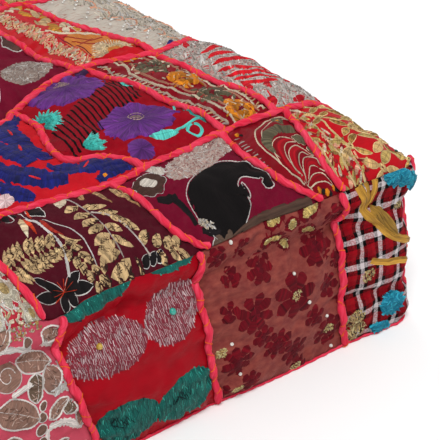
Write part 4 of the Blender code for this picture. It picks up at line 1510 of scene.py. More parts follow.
    def make(self, materials, cover):
        """The patch's stitching as one object, held inside its patch."""
        grids = [(len(block[0]), len(block[0]) > FEW) for block in self.blocks]
        large = sum(count for count, fine in grids if not fine)
        small = sum(count for count, fine in grids if fine)
        across = math.ceil(math.sqrt(large + math.ceil(small / SMALL ** 2)))
        firsts = {True: SMALL ** 2 * large, False: 0}
        parts = {"points": [], "lay": [], "tint": [], "map": []}
        faces, kinds = [], []
        first = 0
        for (x, y, rise, lay, colour, kind), (count, fine) in zip(self.blocks, grids):
            rows, columns = x.shape[1:]
            number = np.arange(count)
            u, v, out = self.patch.held(*self.spot(x, y))
            rise = np.where(out, OUT_DROP, rise) * MM
            parts["points"].append(self.patch.surface.at(u, v, rise))
            parts["lay"].append(lay)
            parts["tint"].append(linear(colour))
            parts["map"].append(self.map_places(number, fine, firsts[fine], across, rows, columns))
            firsts[fine] += count
            quads = grid_faces(rows, columns)[None] + rows * columns * number[:, None, None]
            quads = quads.reshape(-1, 4)
            shown = ~out.ravel()[quads].all(axis=1)
            faces.append(first + quads[shown])
            kinds.append(np.full(int(shown.sum()), kind))
            first += x.size
        flat = {key: np.concatenate([part.reshape(-1, part.shape[-1]) for part in value])
                for key, value in parts.items()}
        used, faces = np.unique(np.concatenate(faces), return_inverse=True)
        flat = {key: value[used] for key, value in flat.items()}
        flat["points"][:, 2] = np.maximum(flat["points"][:, 2], STITCH_LOW)
        item = make_object("stitching_" + self.patch.name, flat["points"],
                           faces.reshape(-1, 4).tolist(), materials, np.concatenate(kinds))
        store(item, "lay", flat["lay"])
        store(item, "tint", np.column_stack((flat["tint"], np.ones(len(used)))), "FLOAT_COLOR")
        store_map(item, flat["map"])
        item.parent = cover


def in_oval(centre, half_long, half_wide, turn=0.0):
    """A test of places for an oval."""
    cos, sin = math.cos(turn), math.sin(turn)

    def inside(x, y):
        """Which of the places are in the oval."""
        a = (x - centre[0]) * cos + (y - centre[1]) * sin
        b = (y - centre[1]) * cos - (x - centre[0]) * sin
        return (a / half_long) ** 2 + (b / half_wide) ** 2 < 1.0

    return inside


def everywhere(x, _):
    """A test that every place passes."""
    return np.ones(np.shape(x), dtype=bool)


def arc_path(centre, radius, start, end, count=9, grow=0.0):
    """Points along an arc, or along a spiral that grows."""
    t = np.linspace(0.0, 1.0, count)
    angle = np.radians(start + (end - start) * t)
    reach = radius * (1.0 + grow * t)
    return np.column_stack((centre[0] + reach * np.cos(angle), centre[1] + reach * np.sin(angle)))


# Threads
BLACK = (24, 20, 22)
SILVER = (205, 200, 195)
CREAM = (214, 196, 170)
BEIGE = (200, 168, 122)
GOLD = (186, 158, 92)
KHAKI = (96, 88, 66)
TAUPE = (148, 112, 98)
GREY = (172, 160, 152)
BROWN = (74, 50, 44)
VEIN = (58, 32, 26)
ORANGE = (214, 128, 24)
FIRE = (204, 58, 22)
WINE = (120, 16, 40)
MAROON = (118, 12, 30)
PURPLE = (110, 46, 138)
PURPLE_HEART = (72, 30, 100)
PURPLE_LINE = (84, 36, 112)
BLUE = (23, 29, 106)
DEEP_BLUE = (22, 26, 96)
TURQUOISE = (92, 208, 196)
CYAN = (44, 164, 192)
PEACH = (222, 160, 130)
MUSTARD = (196, 132, 40)


# ---- Designs: each is drawn in centimetres, in its own place on the pouf ----

def spokes(count, start, end):
    """The directions of a fan."""
    return [heading(angle) for angle in np.radians(np.linspace(start, end, count))]


def golden_leaf(sew, base, tip, width, bend):
    """A leaf with a braided look: pale thread with dark slits across it."""
    sew.leaf(base, tip, width, BEIGE, bend, blunt=0.66, ragged=0.05)
    way = math.atan2(tip[1] - base[1], tip[0] - base[0])
    share = sew.rng.uniform(0.15, 0.8, 9)
    off = sew.rng.uniform(-0.3, 0.3, 9) * width
    x = base[0] + share * (tip[0] - base[0]) - math.sin(way) * off
    y = base[1] + share * (tip[1] - base[1]) + math.cos(way) * off
    sew.stitches(x, y, way + sew.rng.choice((-0.7, 0.7), 9), 0.26, 0.09, VEIN, 0.9)


def fern(sew, spine, pairs, length, width, open_angle=62.0):
    """Leaves in pairs along a spine from its root to its tip."""
    line = even_steps(smooth_path(spine), 0.1)
    for mark in np.linspace(0.04, 0.96, pairs):
        number = int(mark * (len(line) - 1))
        at = line[number]
        after = line[min(number + 2, len(line) - 1)]
        ahead = math.atan2(after[1] - at[1], after[0] - at[0])
        size = length * (1.0 - 0.35 * mark)
        for side in (-1, 1):
            angle = ahead + side * math.radians(open_angle) * sew.rng.uniform(0.85, 1.1)
            golden_leaf(sew, at, at + size * heading(angle), width, 0.1 * side)


def leaves(sew, pairs, width):
    """Single leaves from (x, y) to (x, y)."""
    for x0, y0, x1, y1 in pairs:
        golden_leaf(sew, (x0, y0), (x1, y1), width, sew.rng.uniform(-0.12, 0.12))


def ferns(sew):
    """Golden ferns, silver stems, a black bud and a black flower on maroon."""
    for path, colour, width in (
            (((1.6, -18.4), (2.0, -19.5), (2.1, -22.0), (1.9, -24.2)), GREY, 0.12),
            (((2.2, -20.8), (3.0, -22.0), (3.5, -23.6), (3.7, -24.6)), GREY, 0.16),
            (((-1.7, -19.6), (-1.3, -21.0), (-1.1, -22.5), (-1.7, -24.1)), SILVER, 0.22),
            (((-0.95, -20.1), (-0.5, -20.9), (0.05, -21.6), (0.3, -22.6), (0.1, -24.3)), SILVER,
             0.1),
            (((-1.3, -18.0), (-1.5, -19.4)), SILVER, 0.1),
            (((-2.0, -18.0), (-2.2, -19.1), (-2.7, -18.9)), SILVER, 0.1)):
        sew.line(path, colour, width, beat=0.2)
    leaves(sew, ((2.0, -19.8, 0.65, -20.3), (2.1, -20.8, 0.75, -21.1), (2.1, -21.5, 0.8, -21.9),
                 (2.1, -22.2, 0.75, -22.5), (2.0, -22.8, 0.65, -23.2), (2.0, -23.3, 0.5, -23.7),
                 (1.9, -23.9, 0.3, -24.2), (2.2, -24.3, 0.6, -24.7)), 0.64)
    leaves(sew, ((2.1, -20.1, 3.3, -20.9), (2.5, -21.1, 3.6, -21.6), (2.8, -21.8, 3.8, -22.5),
                 (3.1, -22.3, 3.9, -23.2), (2.1, -22.2, 2.9, -22.9), (2.1, -22.9, 2.9, -23.9)),
           0.62)
    sew.leaf((1.8, -18.1), (0.75, -19.6), 0.85, CREAM, vein=BEIGE)
    leaves(sew, ((3.6, -24.0, 4.3, -23.3), (4.2, -24.2, 5.0, -23.7), (4.8, -24.4, 5.8, -23.8),
                 (5.6, -24.6, 6.6, -23.9), (4.2, -24.4, 4.6, -25.0), (5.0, -24.5, 5.6, -25.0),
                 (5.7, -24.7, 6.4, -25.0)), 0.56)
    fern(sew, ((-4.7, -22.45), (-3.2, -22.2), (-1.3, -22.3)), 10, 1.35, 0.4, open_angle=66)
    fern(sew, ((-0.9, -22.4), (-0.6, -23.4), (-0.1, -24.8)), 6, 0.8, 0.46)
    fern(sew, ((0.2, -24.5), (1.4, -24.8), (2.8, -24.7)), 4, 0.5, 0.32)
    sew.leaf((-0.45, -18.0), (-0.6, -20.1), 0.95, BLACK, edge=SILVER, full=0.5, kind=FELT)
    sew.leaf((-0.7, -17.9), (-1.2, -19.5), 0.24, FIRE)
    sew.leaf((-2.0, -19.4), (-2.6, -21.2), 0.5, BEIGE, toward=CREAM)
    sew.leaf((-1.9, -19.6), (-1.9, -21.2), 0.35, FIRE)
    sew.leaf((-1.15, -20.2), (-0.55, -21.9), 0.36, (170, 44, 30), bend=-0.1)
    sew.leaf((-0.8, -21.7), (0.15, -22.6), 0.26, BEIGE, bend=-0.15)
    for base, tip in (((2.9, -18.5), (2.6, -19.5)), ((3.7, -18.7), (3.8, -20.8)),
                      ((4.6, -19.4), (5.2, -21.7)), ((5.0, -19.0), (5.6, -20.9))):
        sew.leaf(base, tip, 0.42, BEIGE, vein=BROWN, toward=(150, 110, 70))
    heart = np.array((-2.3, -24.4))
    for tip in ((-3.75, -23.3), (-4.3, -24.2), (-1.0, -24.0), (-0.6, -24.7), (-2.7, -25.0),
                (-1.8, -25.0)):
        sew.leaf(heart, tip, 0.5, BLACK, edge=SILVER, kind=FELT, full=1.1, edge_width=0.05)
    for angle in np.radians((100, 140, 175, 20, 50, 70, 200, 340)):
        sew.line((heart, heart + (0.75, 0.5) * heading(angle)), FIRE, 0.05, rise=1.0)
    for x in (2.9, 3.4, 3.9):
        sew.leaf((x, -24.8), (x + 0.7, -24.4), 0.4, BLACK, edge=SILVER, kind=FELT,
                 edge_width=0.04)
    for x in (-2.9, -2.3, -1.8):
        sew.leaf((x, -17.9), (x - 0.15, -19.0), 0.4, BLACK, kind=FELT)


def black_paisley(sew):
    """A great black paisley, a speckled oval and brown flowers on wine."""
    spine = ((10.9, -24.9, 1.2), (10.45, -24.2, 1.7), (10.2, -23.3, 2.02), (11.0, -22.25, 1.25),
             (12.2, -21.9, 0.85), (13.3, -22.2, 0.7), (14.05, -22.9, 0.56),
             (13.95, -23.45, 0.34), (13.5, -23.55, 0.12))
    sew.strip(spine, (15, 11, 12), kind=FELT, satin=False, rise=0.7, shade=0.05)
    sew.edge(spine, SILVER, 0.08, grow=0.05)
    turn = math.radians(20)
    sew.disc((11.6, -19.6), 3.6, 1.35, (178, 150, 140), turn, kind=FELT, grain=turn, rise=0.4)
    sew.cover(in_oval((11.6, -19.6), 3.6, 1.36, turn), (8.0, -21.6, 15.3, -17.6), turn + 0.4,
              0.11, 0.28, 0.09, (SILVER, (214, 200, 190), (196, 180, 172), (150, 96, 94)), 0.75,
              stray=0.9)
    sew.disc((6.95, -20.4), 1.15, 1.02, BROWN, lobes=8, notch=0.16, kind=FELT, edge=SILVER,
             grain=0.0, edge_width=0.07, rise=0.6)
    sew.disc((6.95, -20.4), 0.66, 0.42, (206, 196, 184), -0.5, rise=1.0, grain=0.3)
    sew.disc((8.15, -19.5), 0.5, 0.8, (206, 196, 184), rise=0.6, grain=1.2, edge=SILVER)
    for path in (((6.6, -21.7, 0.2), (7.2, -21.9, 0.34), (7.9, -22.0, 0.22)),
                 ((7.5, -21.6, 0.2), (7.75, -22.8, 0.22), (7.8, -24.0, 0.16)),
                 ((8.0, -24.3, 0.15), (8.8, -24.6, 0.2), (9.6, -24.6, 0.1))):
        sew.strip(path, BLACK, kind=FELT, satin=False)
    sew.glitter((8.45, -24.15), 0.5, 0.2, -0.5, (SILVER, CREAM), count=60, rise=1.4)
    sew.disc((9.2, -25.0), 0.85, 0.6, (96, 76, 64), lobes=7, notch=0.18, kind=FELT, edge=SILVER,
             edge_width=0.07, grain=0.0)
    sew.strip(((9.8, -25.0, 0.1), (11.2, -24.9, 0.16), (13.4, -24.85, 0.22),
               (16.4, -24.85, 0.26)), (84, 62, 52), kind=FELT, satin=False, rise=0.8)
    sew.flower((14.9, -20.8), 0.5, 6, BROWN, edge=SILVER, kind=FELT, edge_width=0.05)


def blades(sew):
    """A fan of curved red blades with cream outlines, and khaki scallops."""
    outer = ((16.6, -24.2), (15.8, -22.6), (15.6, -21.0), (16.2, -19.7), (17.4, -19.0),
             (18.6, -18.8), (19.6, -19.0))
    sew.line(outer, CREAM, 0.13, beat=0.24)
    sew.line(np.array(outer) + (0.3, -0.3), CREAM, 0.08)
    sew.strip(((15.95, -22.0, 0.12), (16.1, -21.0, 0.34), (16.9, -20.35, 0.46),
               (17.9, -20.2, 0.46), (18.9, -20.6, 0.3)), KHAKI, rise=0.6)
    for x, y, size in ((18.5, -21.5, 0.55), (18.9, -22.6, 0.55), (19.1, -23.7, 0.5)):
        sew.disc((x, y), size, 0.8 * size, KHAKI, -0.7, lobes=5, notch=0.25, rise=0.7,
                 edge=CREAM, edge_width=0.05)
    claws = (((16.6, -24.1, 0.07), (16.15, -22.7, 0.26), (16.45, -21.7, 0.36),
              (17.2, -21.3, 0.3), (17.95, -21.7, 0.04)),
             ((16.7, -24.1, 0.06), (16.7, -23.1, 0.2), (17.1, -22.45, 0.28),
              (17.8, -22.3, 0.22), (18.45, -22.9, 0.04)),
             ((16.8, -24.1, 0.06), (17.1, -23.6, 0.16), (17.6, -23.2, 0.24),
              (18.2, -23.3, 0.2), (18.7, -23.9, 0.04)),
             ((16.8, -24.3, 0.05), (17.4, -24.1, 0.16), (18.1, -24.2, 0.18),
              (18.6, -24.6, 0.04)))
    for claw in claws:
        sew.strip(claw, (150, 12, 26), rise=0.6, kind=FELT, satin=False)
        sew.edge(claw, CREAM, 0.08, grow=0.03)
    for k in range(17):
        share = k / 16
        x = 15.35 - 0.3 * math.sin(math.pi * share)
        y = -24.2 + 5.0 * share
        sew.line(((x, y), (x - 0.42, y + 0.12)), GREY, 0.1)
    for x, y in ((17.4, -24.6), (17.9, -24.8), (18.6, -24.7), (15.3, -18.9)):
        sew.dot((x, y), 0.16, ORANGE)
        sew.dot((x + 0.25, y - 0.1), 0.14, BLACK)
    sew.flower((18.5, -19.2), 0.5, 6, KHAKI, heart=(ORANGE, 0.14))


def trellis(sew):
    """Golden leaves in a lattice with small red windows, and a close panel beside it."""
    pitch = 2.3
    rng = sew.rng
    golds = (GOLD, (190, 152, 84), (206, 168, 112), (156, 118, 58))
    for i in range(-3, 4):
        for j in range(-3, 4):
            x = 22.4 + pitch * (i + 0.5 * (j % 2)) + rng.uniform(-0.12, 0.12)
            y = -21.6 + pitch * 0.66 * j + rng.uniform(-0.12, 0.12)
            if x < 20.6 - 0.2 * (j % 3):
                continue
            for side, lift in ((-1, 1), (1, 1), (-1, -1), (1, -1)):
                way = np.array((side * pitch, 0.66 * lift * pitch))
                sew.leaf(0.07 * way + (x, y), 0.49 * way + (x, y), rng.uniform(0.4, 0.52),
                         golds[rng.integers(0, 4)], rng.uniform(-0.1, 0.1),
                         vein=(104, 44, 26), edge=(220, 190, 136), rise=0.8, ragged=0.14,
                         blunt=0.8, full=1.0)
            sew.flower((x, y), 0.26, 5, (206, 176, 120), rise=1.1, heart=((84, 26, 22), 0.1))
    for k in range(72):
        x, y = 19.2 + 1.6 * rng.uniform(0, 1), -25.2 + 0.1 * k
        turn = rng.choice((0.9, 2.2)) + rng.uniform(-0.3, 0.3)
        colour = (GOLD, PEACH, CREAM, (150, 118, 66), (150, 28, 34))[k % 5]
        sew.leaf((x, y), (x, y) + 0.75 * heading(turn), 0.26, colour, rise=0.8)
    for x in (19.2, 20.1, 20.9):
        sew.line(((x, -25.0), (x + 0.1, -21.5), (x, -18.0)), (206, 180, 128), 0.2, beat=0.26)
    sew.cover(lambda x, y: x + y < -2.2, (19.0, -25.2, 25.0, -20.5), 0.5, 0.24, 0.4, 0.14,
              (GOLD, PEACH, (214, 190, 120), (150, 30, 34)), 1.0, keep=0.5, stray=1.2)


def scrolls(sew):
    """Silver rosettes and scrolls, packed close."""
    for x, y, size in ((-6.0, -23.4, 1.05), (-8.2, -22.4, 1.15), (-10.6, -23.5, 1.05),
                       (-12.8, -22.2, 1.1), (-6.3, -20.7, 1.0), (-8.9, -19.4, 1.1),
                       (-11.3, -20.4, 1.1), (-13.6, -19.6, 1.0), (-6.3, -18.2, 0.8),
                       (-7.6, -24.6, 0.8), (-5.0, -24.7, 0.7), (-5.4, -22.0, 0.6)):
        for turn in range(20, 380, 60):
            tip = (x, y) + size * heading(math.radians(turn))
            sew.leaf((x, y), tip, 0.7 * size, (206, 196, 174), edge=(224, 218, 208), rise=0.5,
                     kind=METAL, full=1.3, blunt=0.5)
        sew.disc((x, y), 0.36 * size, 0.36 * size, (176, 150, 100), rise=1.1, kind=METAL,
                 sectors=20)
    for x, y, start in ((-7.2, -24.5, 20), (-9.5, -24.6, 200), (-7.4, -21.6, 90),
                        (-10.0, -21.8, 300), (-12.1, -24.3, 45), (-7.9, -18.0, 180),
                        (-10.4, -18.3, 0), (-12.6, -18.0, 120), (-14.2, -21.0, 230),
                        (-5.2, -22.3, 150), (-14.2, -23.8, 10)):
        sew.line(arc_path((x, y), 0.75, start, start + 420, 13, grow=-0.8), (222, 216, 206), 0.2,
                 beat=0.24, kind=METAL)
    sew.cover(everywhere, (-15.0, -25.2, -4.4, -17.0), 0.6, 0.2, 0.36, 0.14,
              ((222, 216, 206), CREAM, (196, 178, 140)), 0.5, METAL, keep=0.85, stray=1.2)


def zigzag(sew):
    """Thick zig-zag bands of blue floss on red."""
    bands = (((6.6, -6.6, 0.6), (4.6, -7.8, 0.85), (3.2, -9.6, 0.95), (3.1, -12.2, 0.8),
              (3.4, -14.4, 0.7)),
             ((1.6, -7.4, 0.5), (0.9, -10.2, 0.8), (1.6, -12.6, 0.75), (2.0, -14.6, 0.6)),
             ((-0.8, -12.2, 0.4), (0.2, -14.6, 0.75), (1.6, -16.0, 0.8), (3.2, -17.0, 0.5)),
             ((2.9, -15.0, 0.4), (4.6, -16.4, 0.85), (6.2, -16.6, 0.95), (7.9, -17.0, 0.6)),
             ((4.6, -18.2, 0.2), (6.0, -17.9, 0.45), (7.6, -17.9, 0.25)),
             ((-2.0, -7.4, 0.5), (-3.4, -9.0, 0.85), (-3.2, -11.6, 0.8), (-2.2, -13.8, 0.6)),
             ((-4.9, -8.0, 0.4), (-5.0, -11.0, 0.7), (-4.2, -14.0, 0.7), (-3.2, -16.4, 0.5)),
             ((-1.2, -15.0, 0.4), (-0.4, -16.4, 0.6), (0.4, -17.4, 0.3)))
    for band in bands:
        wide = np.array(band) * (1.0, 1.0, 1.12)
        sew.strip(wide, BLUE, rise=1.2, ragged=0.18, shade=0.12)
        sew.strip(wide * (1.0, 1.0, 0.5), DEEP_BLUE, rise=1.4, ragged=0.25, shade=0.1)
    for x, y, turn in ((3.0, -11.0, 1.4), (2.2, -13.2, 1.2), (4.6, -16.6, 0.5), (-3.2, -10.4, 1.5),
                       (0.9, -9.4, 1.5), (1.0, -15.6, -0.8), (6.6, -16.9, 0.1), (3.7, -8.6, 1.7)):
        sew.leaf((x, y), (x, y) + heading(turn), 0.3, (222, 38, 44), rise=1.8)
    sew.disc((-1.3, -16.7), 0.8, 0.5, (232, 196, 196), 0.3, rise=0.8)
    sew.dot((5.3, -18.05), 0.26, ORANGE, rise=1.6)


def purple_flowers(sew):
    """Two great purple flowers, a striped band, teal fans and a turquoise curl."""
    sew.strip(((4.8, -13.5, 1.5), (7.5, -12.0, 1.5), (10.3, -10.7, 1.45), (13.8, -9.2, 1.5)),
              (142, 4, 26), kind=FELT, satin=False, rise=0.3, shade=0.03)
    for share in np.linspace(0.0, 1.0, 18):
        low = np.array((5.3, -14.9)) + share * np.array((7.7, 3.5))
        sew.line((low, low + (0.4, 1.9), low + (0.6, 3.7)), (6, 0, 2), 0.25, rise=0.8,
                 kind=FELT)
    for x, y, wide, high, turn in ((9.9, -7.2, 3.0, 2.5, 0.35), (10.9, -14.0, 2.9, 2.25, 0.1)):
        sew.disc((x, y), wide, high, PURPLE, turn, inner=PURPLE_HEART, lobes=9, notch=0.13,
                 rise=0.9, ragged=0.05, sectors=72)
        for angle in np.linspace(0.2, 6.2, 11):
            sew.line([(x + share * wide * math.cos(angle), y + share * high * math.sin(angle))
                      for share in (0.5, 0.86)], PURPLE_LINE, 0.07, rise=1.1, bend=False)
        sew.oval((x, y), wide, high, turn, 3, 1.1, 0.3, 0.7, 0.12,
                 ((122, 58, 150), (92, 40, 122), (78, 32, 108)), 1.1, stray=0.5, keep=0.6)
    for x, y, size in ((10.0, -6.3, 0.55), (11.0, -13.6, 0.5)):
        sew.disc((x, y), size, size, (128, 100, 108), rise=1.2, sectors=20)
        for radius in (0.3, 0.55):
            sew.line(arc_path((x, y), radius, 0, 360, 11), (176, 150, 132), 0.12, rise=1.5,
                     beat=0.2)
    for x, y, size, start, end in ((6.0, -9.8, 1.65, -85, 85), (6.0, -14.4, 1.8, -32, 30),
                                   (13.9, -9.0, 0.8, 90, 260)):
        for way in spokes(15, start, end):
            reach = size * sew.rng.uniform(0.8, 1.05)
            sew.leaf((x, y) + 0.25 * way, (x, y) + reach * way, 0.3, (30, 150, 140), rise=0.9,
                     toward=TURQUOISE)
    sew.leaf((10.2, -16.1), (12.2, -16.7), 1.0, TURQUOISE, vein=(60, 160, 150), rise=0.9)
    sew.line(((11.8, -16.6), (12.8, -16.3), (13.8, -16.2), (14.6, -15.9)), TURQUOISE, 0.26)
    sew.line(arc_path((13.4, -16.9), 0.48, 80, 420, 11), TURQUOISE, 0.26)
    sew.leaf((14.6, -14.0), (14.6, -16.6), 0.85, (44, 150, 142), vein=TURQUOISE)
    sew.line(((13.8, -14.1), (14.2, -13.6), (14.6, -12.9)), TURQUOISE, 0.2)
    sew.disc((9.0, -16.9), 0.85, 1.05, (104, 46, 130), inner=(80, 34, 104), rise=0.8, sectors=24)
    sew.disc((12.6, -5.0), 0.9, 0.5, (60, 26, 76), 0.5, lobes=5, rise=0.7, sectors=24)


def flower_chain(sew):
    """Beige chains either side of a column of orange and khaki flowers."""
    left = ((15.3, -4.6), (15.2, -6.8), (14.75, -8.0), (14.8, -10.4), (15.5, -12.0),
            (15.95, -14.0), (16.2, -17.8))
    right = ((17.5, -4.6), (18.0, -8.0), (17.9, -11.0), (18.2, -13.0), (18.7, -17.6))
    for path, colour, shift in ((left, CREAM, 0.0), (left, (176, 120, 96), 0.42),
                                (right, CREAM, 0.0), (right, (176, 120, 96), -0.42)):
        sew.line(np.array(path) + (shift, 0.0), colour, 0.25, beat=0.26)
    sew.line(((14.35, -4.8), (14.25, -9.4), (14.9, -12.0), (15.5, -15.0), (15.6, -17.6)),
             (190, 170, 150), 0.22, beat=0.26)
    for k in range(34):
        y = -17.6 + 0.38 * k
        x = 14.55 + 1.1 * max(0.0, min(1.0, (-9.0 - y) / 8.0))
        sew.line(((x, y), (x - 0.5, y + 0.26)), (GREY, BEIGE, CREAM)[k % 3], 0.13)
        sew.line(((18.55, y), (19.1, y + 0.24)), BEIGE, 0.11)
    for x, y, size, colour in ((17.2, -17.0, 1.2, ORANGE), (16.9, -14.3, 1.2, KHAKI),
                               (16.8, -11.3, 1.2, ORANGE), (16.2, -8.4, 1.25, KHAKI),
                               (16.9, -5.0, 0.9, ORANGE)):
        sew.flower((x, y), 1.1 * size, 7, colour, 0.85, inner=0.3, rise=0.8, vary=0.2,
                   blunt=0.5, ragged=0.2)
        sew.flower((x, y), 0.62 * size, 5, tuple(0.8 * part for part in colour), 0.6,
                   heart=(MAROON, 0.2), rise=1.0, vary=0.2, blunt=0.5)
        sew.oval((x, y), 1.2 * size, 1.1 * size, 0.0, 2, 1.0, 0.32, 0.34, 0.12,
                 (colour, CREAM, (150, 24, 34)), 1.1, stray=1.0, keep=0.7)
        for side in (-1, 1):
            sew.leaf((x + 0.3 * side, y + 1.1), (x + 0.75 * side, y + 1.7), 0.3, KHAKI)


def red_windows(sew):
    """Off-white threads laid close, with red leaf windows fanned between them."""
    sew.cover(everywhere, (17.8, -18.4, 25.2, -2.6), 1.15, 0.13, 0.6, 0.14,
              (GREY, (190, 180, 170), (160, 148, 140), SILVER), 0.6, stray=0.3, keep=0.95)
    for k, long in enumerate((3.0, 4.2, 4.8, 4.6, 4.2, 3.4, 2.6)):
        y = -9.6 - 0.72 * k
        angle = math.radians(24 - 9 * k)
        start = np.array((19.3 + 0.1 * abs(k - 3), y))
        sew.leaf(start, start + long * heading(angle), 0.6, (212, 26, 38),
                 edge=(214, 204, 196), rise=0.95, kind=FELT, blunt=0.5)
    for x, y, turn in ((19.8, -14.4, 1.5), (20.9, -15.2, 1.2), (22.8, -14.8, 0.8),
                       (22.0, -17.2, 0.4), (24.1, -16.2, 0.9), (20.0, -16.8, 1.3),
                       (20.4, -6.8, 1.0), (22.4, -5.2, 0.7), (24.0, -6.8, 1.2)):
        sew.blade((x, y), 0.8, turn, 0.6, (200, 26, 40), edge=(206, 198, 190), rise=0.95,
                  kind=FELT)


def golden_florals(sew):
    """Beige and mustard florals on red over a mustard field with a fan."""
    field = (206, 124, 58)
    sew.strip(((16.2, -3.9, 1.9), (16.2, -2.4, 2.1), (16.3, -0.9, 2.1), (16.4, 0.4, 1.7),
               (16.3, 1.1, 0.8)), field, kind=FELT, satin=False, rise=0.25, shade=0.05)
    sew.line(((14.3, 2.2), (15.0, 1.2), (16.2, 0.6), (18.2, 0.0)), CREAM, 0.3, beat=0.26)
    sew.line(((14.5, -3.6), (14.6, -1.0), (14.5, 0.9)), WINE, 0.16, rise=0.8)
    for shift in (0.0, -1.1, -2.1):
        sew.line(((14.8, 0.6 + shift), (15.6, -0.4 + shift), (16.7, -0.7 + shift)),
                 (160, 30, 30), 0.14, rise=0.8)
    fan = (16.2, -4.0)
    for way in spokes(23, 5, 175):
        sew.leaf(fan + 0.5 * way, fan + 1.75 * way, 0.2, BEIGE, rise=0.9, toward=CREAM)
    sew.line(arc_path(fan, 0.8, 0, 180, 9), CREAM, 0.2, rise=1.0, beat=0.26)
    sew.cover(lambda x, y: np.abs(x - 13.68) < 0.72, (12.7, -6.0, 14.6, 10.2), 0.4, 0.13, 0.42,
              0.15, (BEIGE, CREAM, (220, 176, 136), (226, 140, 120)), 0.8, keep=0.95, stray=0.5)
    sew.line(((14.35, -3.6), (14.45, 2.0), (14.3, 9.6)), (196, 44, 50), 0.2, beat=0.3)
    for x, y, turn, long, wide, colour in (
            (15.6, 3.0, 80, 1.9, 0.9, MUSTARD), (16.9, 2.0, 60, 1.9, 0.7, (206, 146, 52)),
            (17.5, 7.4, 75, 1.9, 0.8, (212, 152, 44)), (15.4, 6.6, 80, 2.1, 0.9, (200, 134, 34)),
            (16.1, 4.9, 30, 1.7, 0.9, BEIGE), (17.5, 4.4, 110, 1.8, 0.8, CREAM),
            (16.7, 3.4, 50, 1.9, 0.5, (196, 172, 140)), (15.8, 1.7, 60, 1.6, 0.6, CREAM),
            (17.7, 8.8, 85, 1.7, 0.7, CREAM), (16.4, 6.8, 65, 2.6, 0.7, BEIGE),
            (15.9, 8.8, 70, 1.9, 0.8, (196, 178, 140)), (17.9, 2.6, 100, 1.3, 0.5, CREAM),
            (16.6, 9.4, 80, 1.4, 0.6, MUSTARD), (15.0, 8.2, 85, 1.5, 0.5, CREAM),
            (15.1, 4.0, 100, 1.6, 0.5, BEIGE), (16.6, 5.9, 40, 1.5, 0.6, MUSTARD),
            (18.1, 3.8, 95, 1.6, 0.5, BEIGE), (15.0, 1.9, 110, 1.3, 0.5, MUSTARD),
            (16.9, 0.9, 30, 1.5, 0.45, CREAM), (18.1, 7.4, 90, 1.8, 0.5, BEIGE),
            (16.6, 8.1, 60, 1.5, 0.5, (206, 146, 52)), (17.2, 3.4, 70, 1.6, 0.5, CREAM)):
        bright = colour[0] > 204 and colour[2] < 80
        sew.blade((x, y), 0.5 * long, math.radians(turn), wide, colour, blunt=0.55, rise=0.8,
                  edge=CREAM if bright else None)
    for x, y in ((18.0, 1.2), (17.7, 6.5), (15.3, 4.7)):
        sew.flower((x, y), 0.5, 5, (184, 24, 34), heart=(ORANGE, 0.14), rise=0.7)


def grey_field(sew):
    """Close grey-beige threads with peach scallops and white beads along a red edge."""
    sew.cover(lambda x, y: x > 20.0 + 0.5 * np.sin(1.6 * y), (18.8, -6.2, 25.2, 10.2), 1.25,
              0.15, 0.7, 0.13, ((186, 176, 158), (204, 192, 174), (164, 154, 140), SILVER), 0.6,
              stray=0.25, keep=0.8)
    for k in range(9):
        y = -4.6 + 1.8 * k
        sew.line(arc_path((20.3, y), 0.95, -95, 95, 9), PEACH, 0.2, beat=0.3, rise=1.0)
        sew.line(arc_path((23.0, y + 0.9), 0.95, -95, 95, 9), PEACH, 0.16, beat=0.3, rise=1.0)
    for k in range(30):
        sew.beads((19.3 + 0.45 * (k % 3), -5.2 + 0.52 * k), 0.11, (226, 222, 214))
    sew.disc((20.2, -5.4), 0.7, 0.35, (40, 40, 110), 0.5, rise=0.9)


def wine_paisleys(sew):
    """A speckled oval, black leaves and brown paisleys on wine."""
    for x, y, turn, wide in ((9.4, -2.9, 0.4, 2.5), (3.2, 1.6, -0.3, 2.6), (8.4, 6.8, 1.0, 2.2)):
        sew.disc((x, y), wide, 1.45, (150, 132, 122), turn, kind=FELT, grain=turn, rise=0.4)
        sew.oval((x, y), 0.97 * wide, 1.4, turn, 3, turn + 0.4, 0.13, 0.32, 0.11,
                 (SILVER, GREY, (186, 176, 168), (120, 100, 96)), 0.75, stray=0.9)
    for spine in (((11.9, 4.2, 0.2), (11.9, 3.2, 0.55), (11.4, 2.1, 0.75), (10.6, 1.4, 0.4)),
                  ((5.4, 8.6, 0.3), (4.6, 7.4, 0.9), (3.8, 5.8, 1.1), (2.4, 5.2, 0.5),
                   (1.6, 5.8, 0.12)),
                  ((5.9, -2.6, 0.2), (5.4, -4.0, 0.8), (4.2, -5.2, 0.95), (2.8, -5.0, 0.4),
                   (2.4, -4.2, 0.1)),
                  ((1.2, -2.6, 0.15), (2.0, -1.4, 0.6), (1.6, -0.2, 0.7), (0.6, 0.4, 0.2))):
        sew.strip(spine, (78, 52, 46), kind=FELT, satin=False, rise=0.7)
        sew.edge(spine, SILVER, 0.1, grow=0.04)
    sew.leaf((12.0, 0.2), (12.5, -2.8), 1.1, BLACK, kind=FELT)
    sew.leaf((7.0, 3.6), (8.6, 1.0), 1.3, BLACK, kind=FELT, edge=SILVER)
    sew.flower((6.6, 0.4), 1.0, 7, BROWN, 0.8, edge=SILVER, kind=FELT, heart=(GREY, 0.3))
    sew.flower((10.4, 8.9), 0.9, 7, BROWN, 0.7, edge=SILVER, kind=FELT, heart=(GREY, 0.3))
    sew.line(((0.2, -7.0), (2.4, -3.2), (4.6, 0.4), (6.0, 4.6), (5.6, 9.6)), SILVER, 0.1,
             beat=0.2)


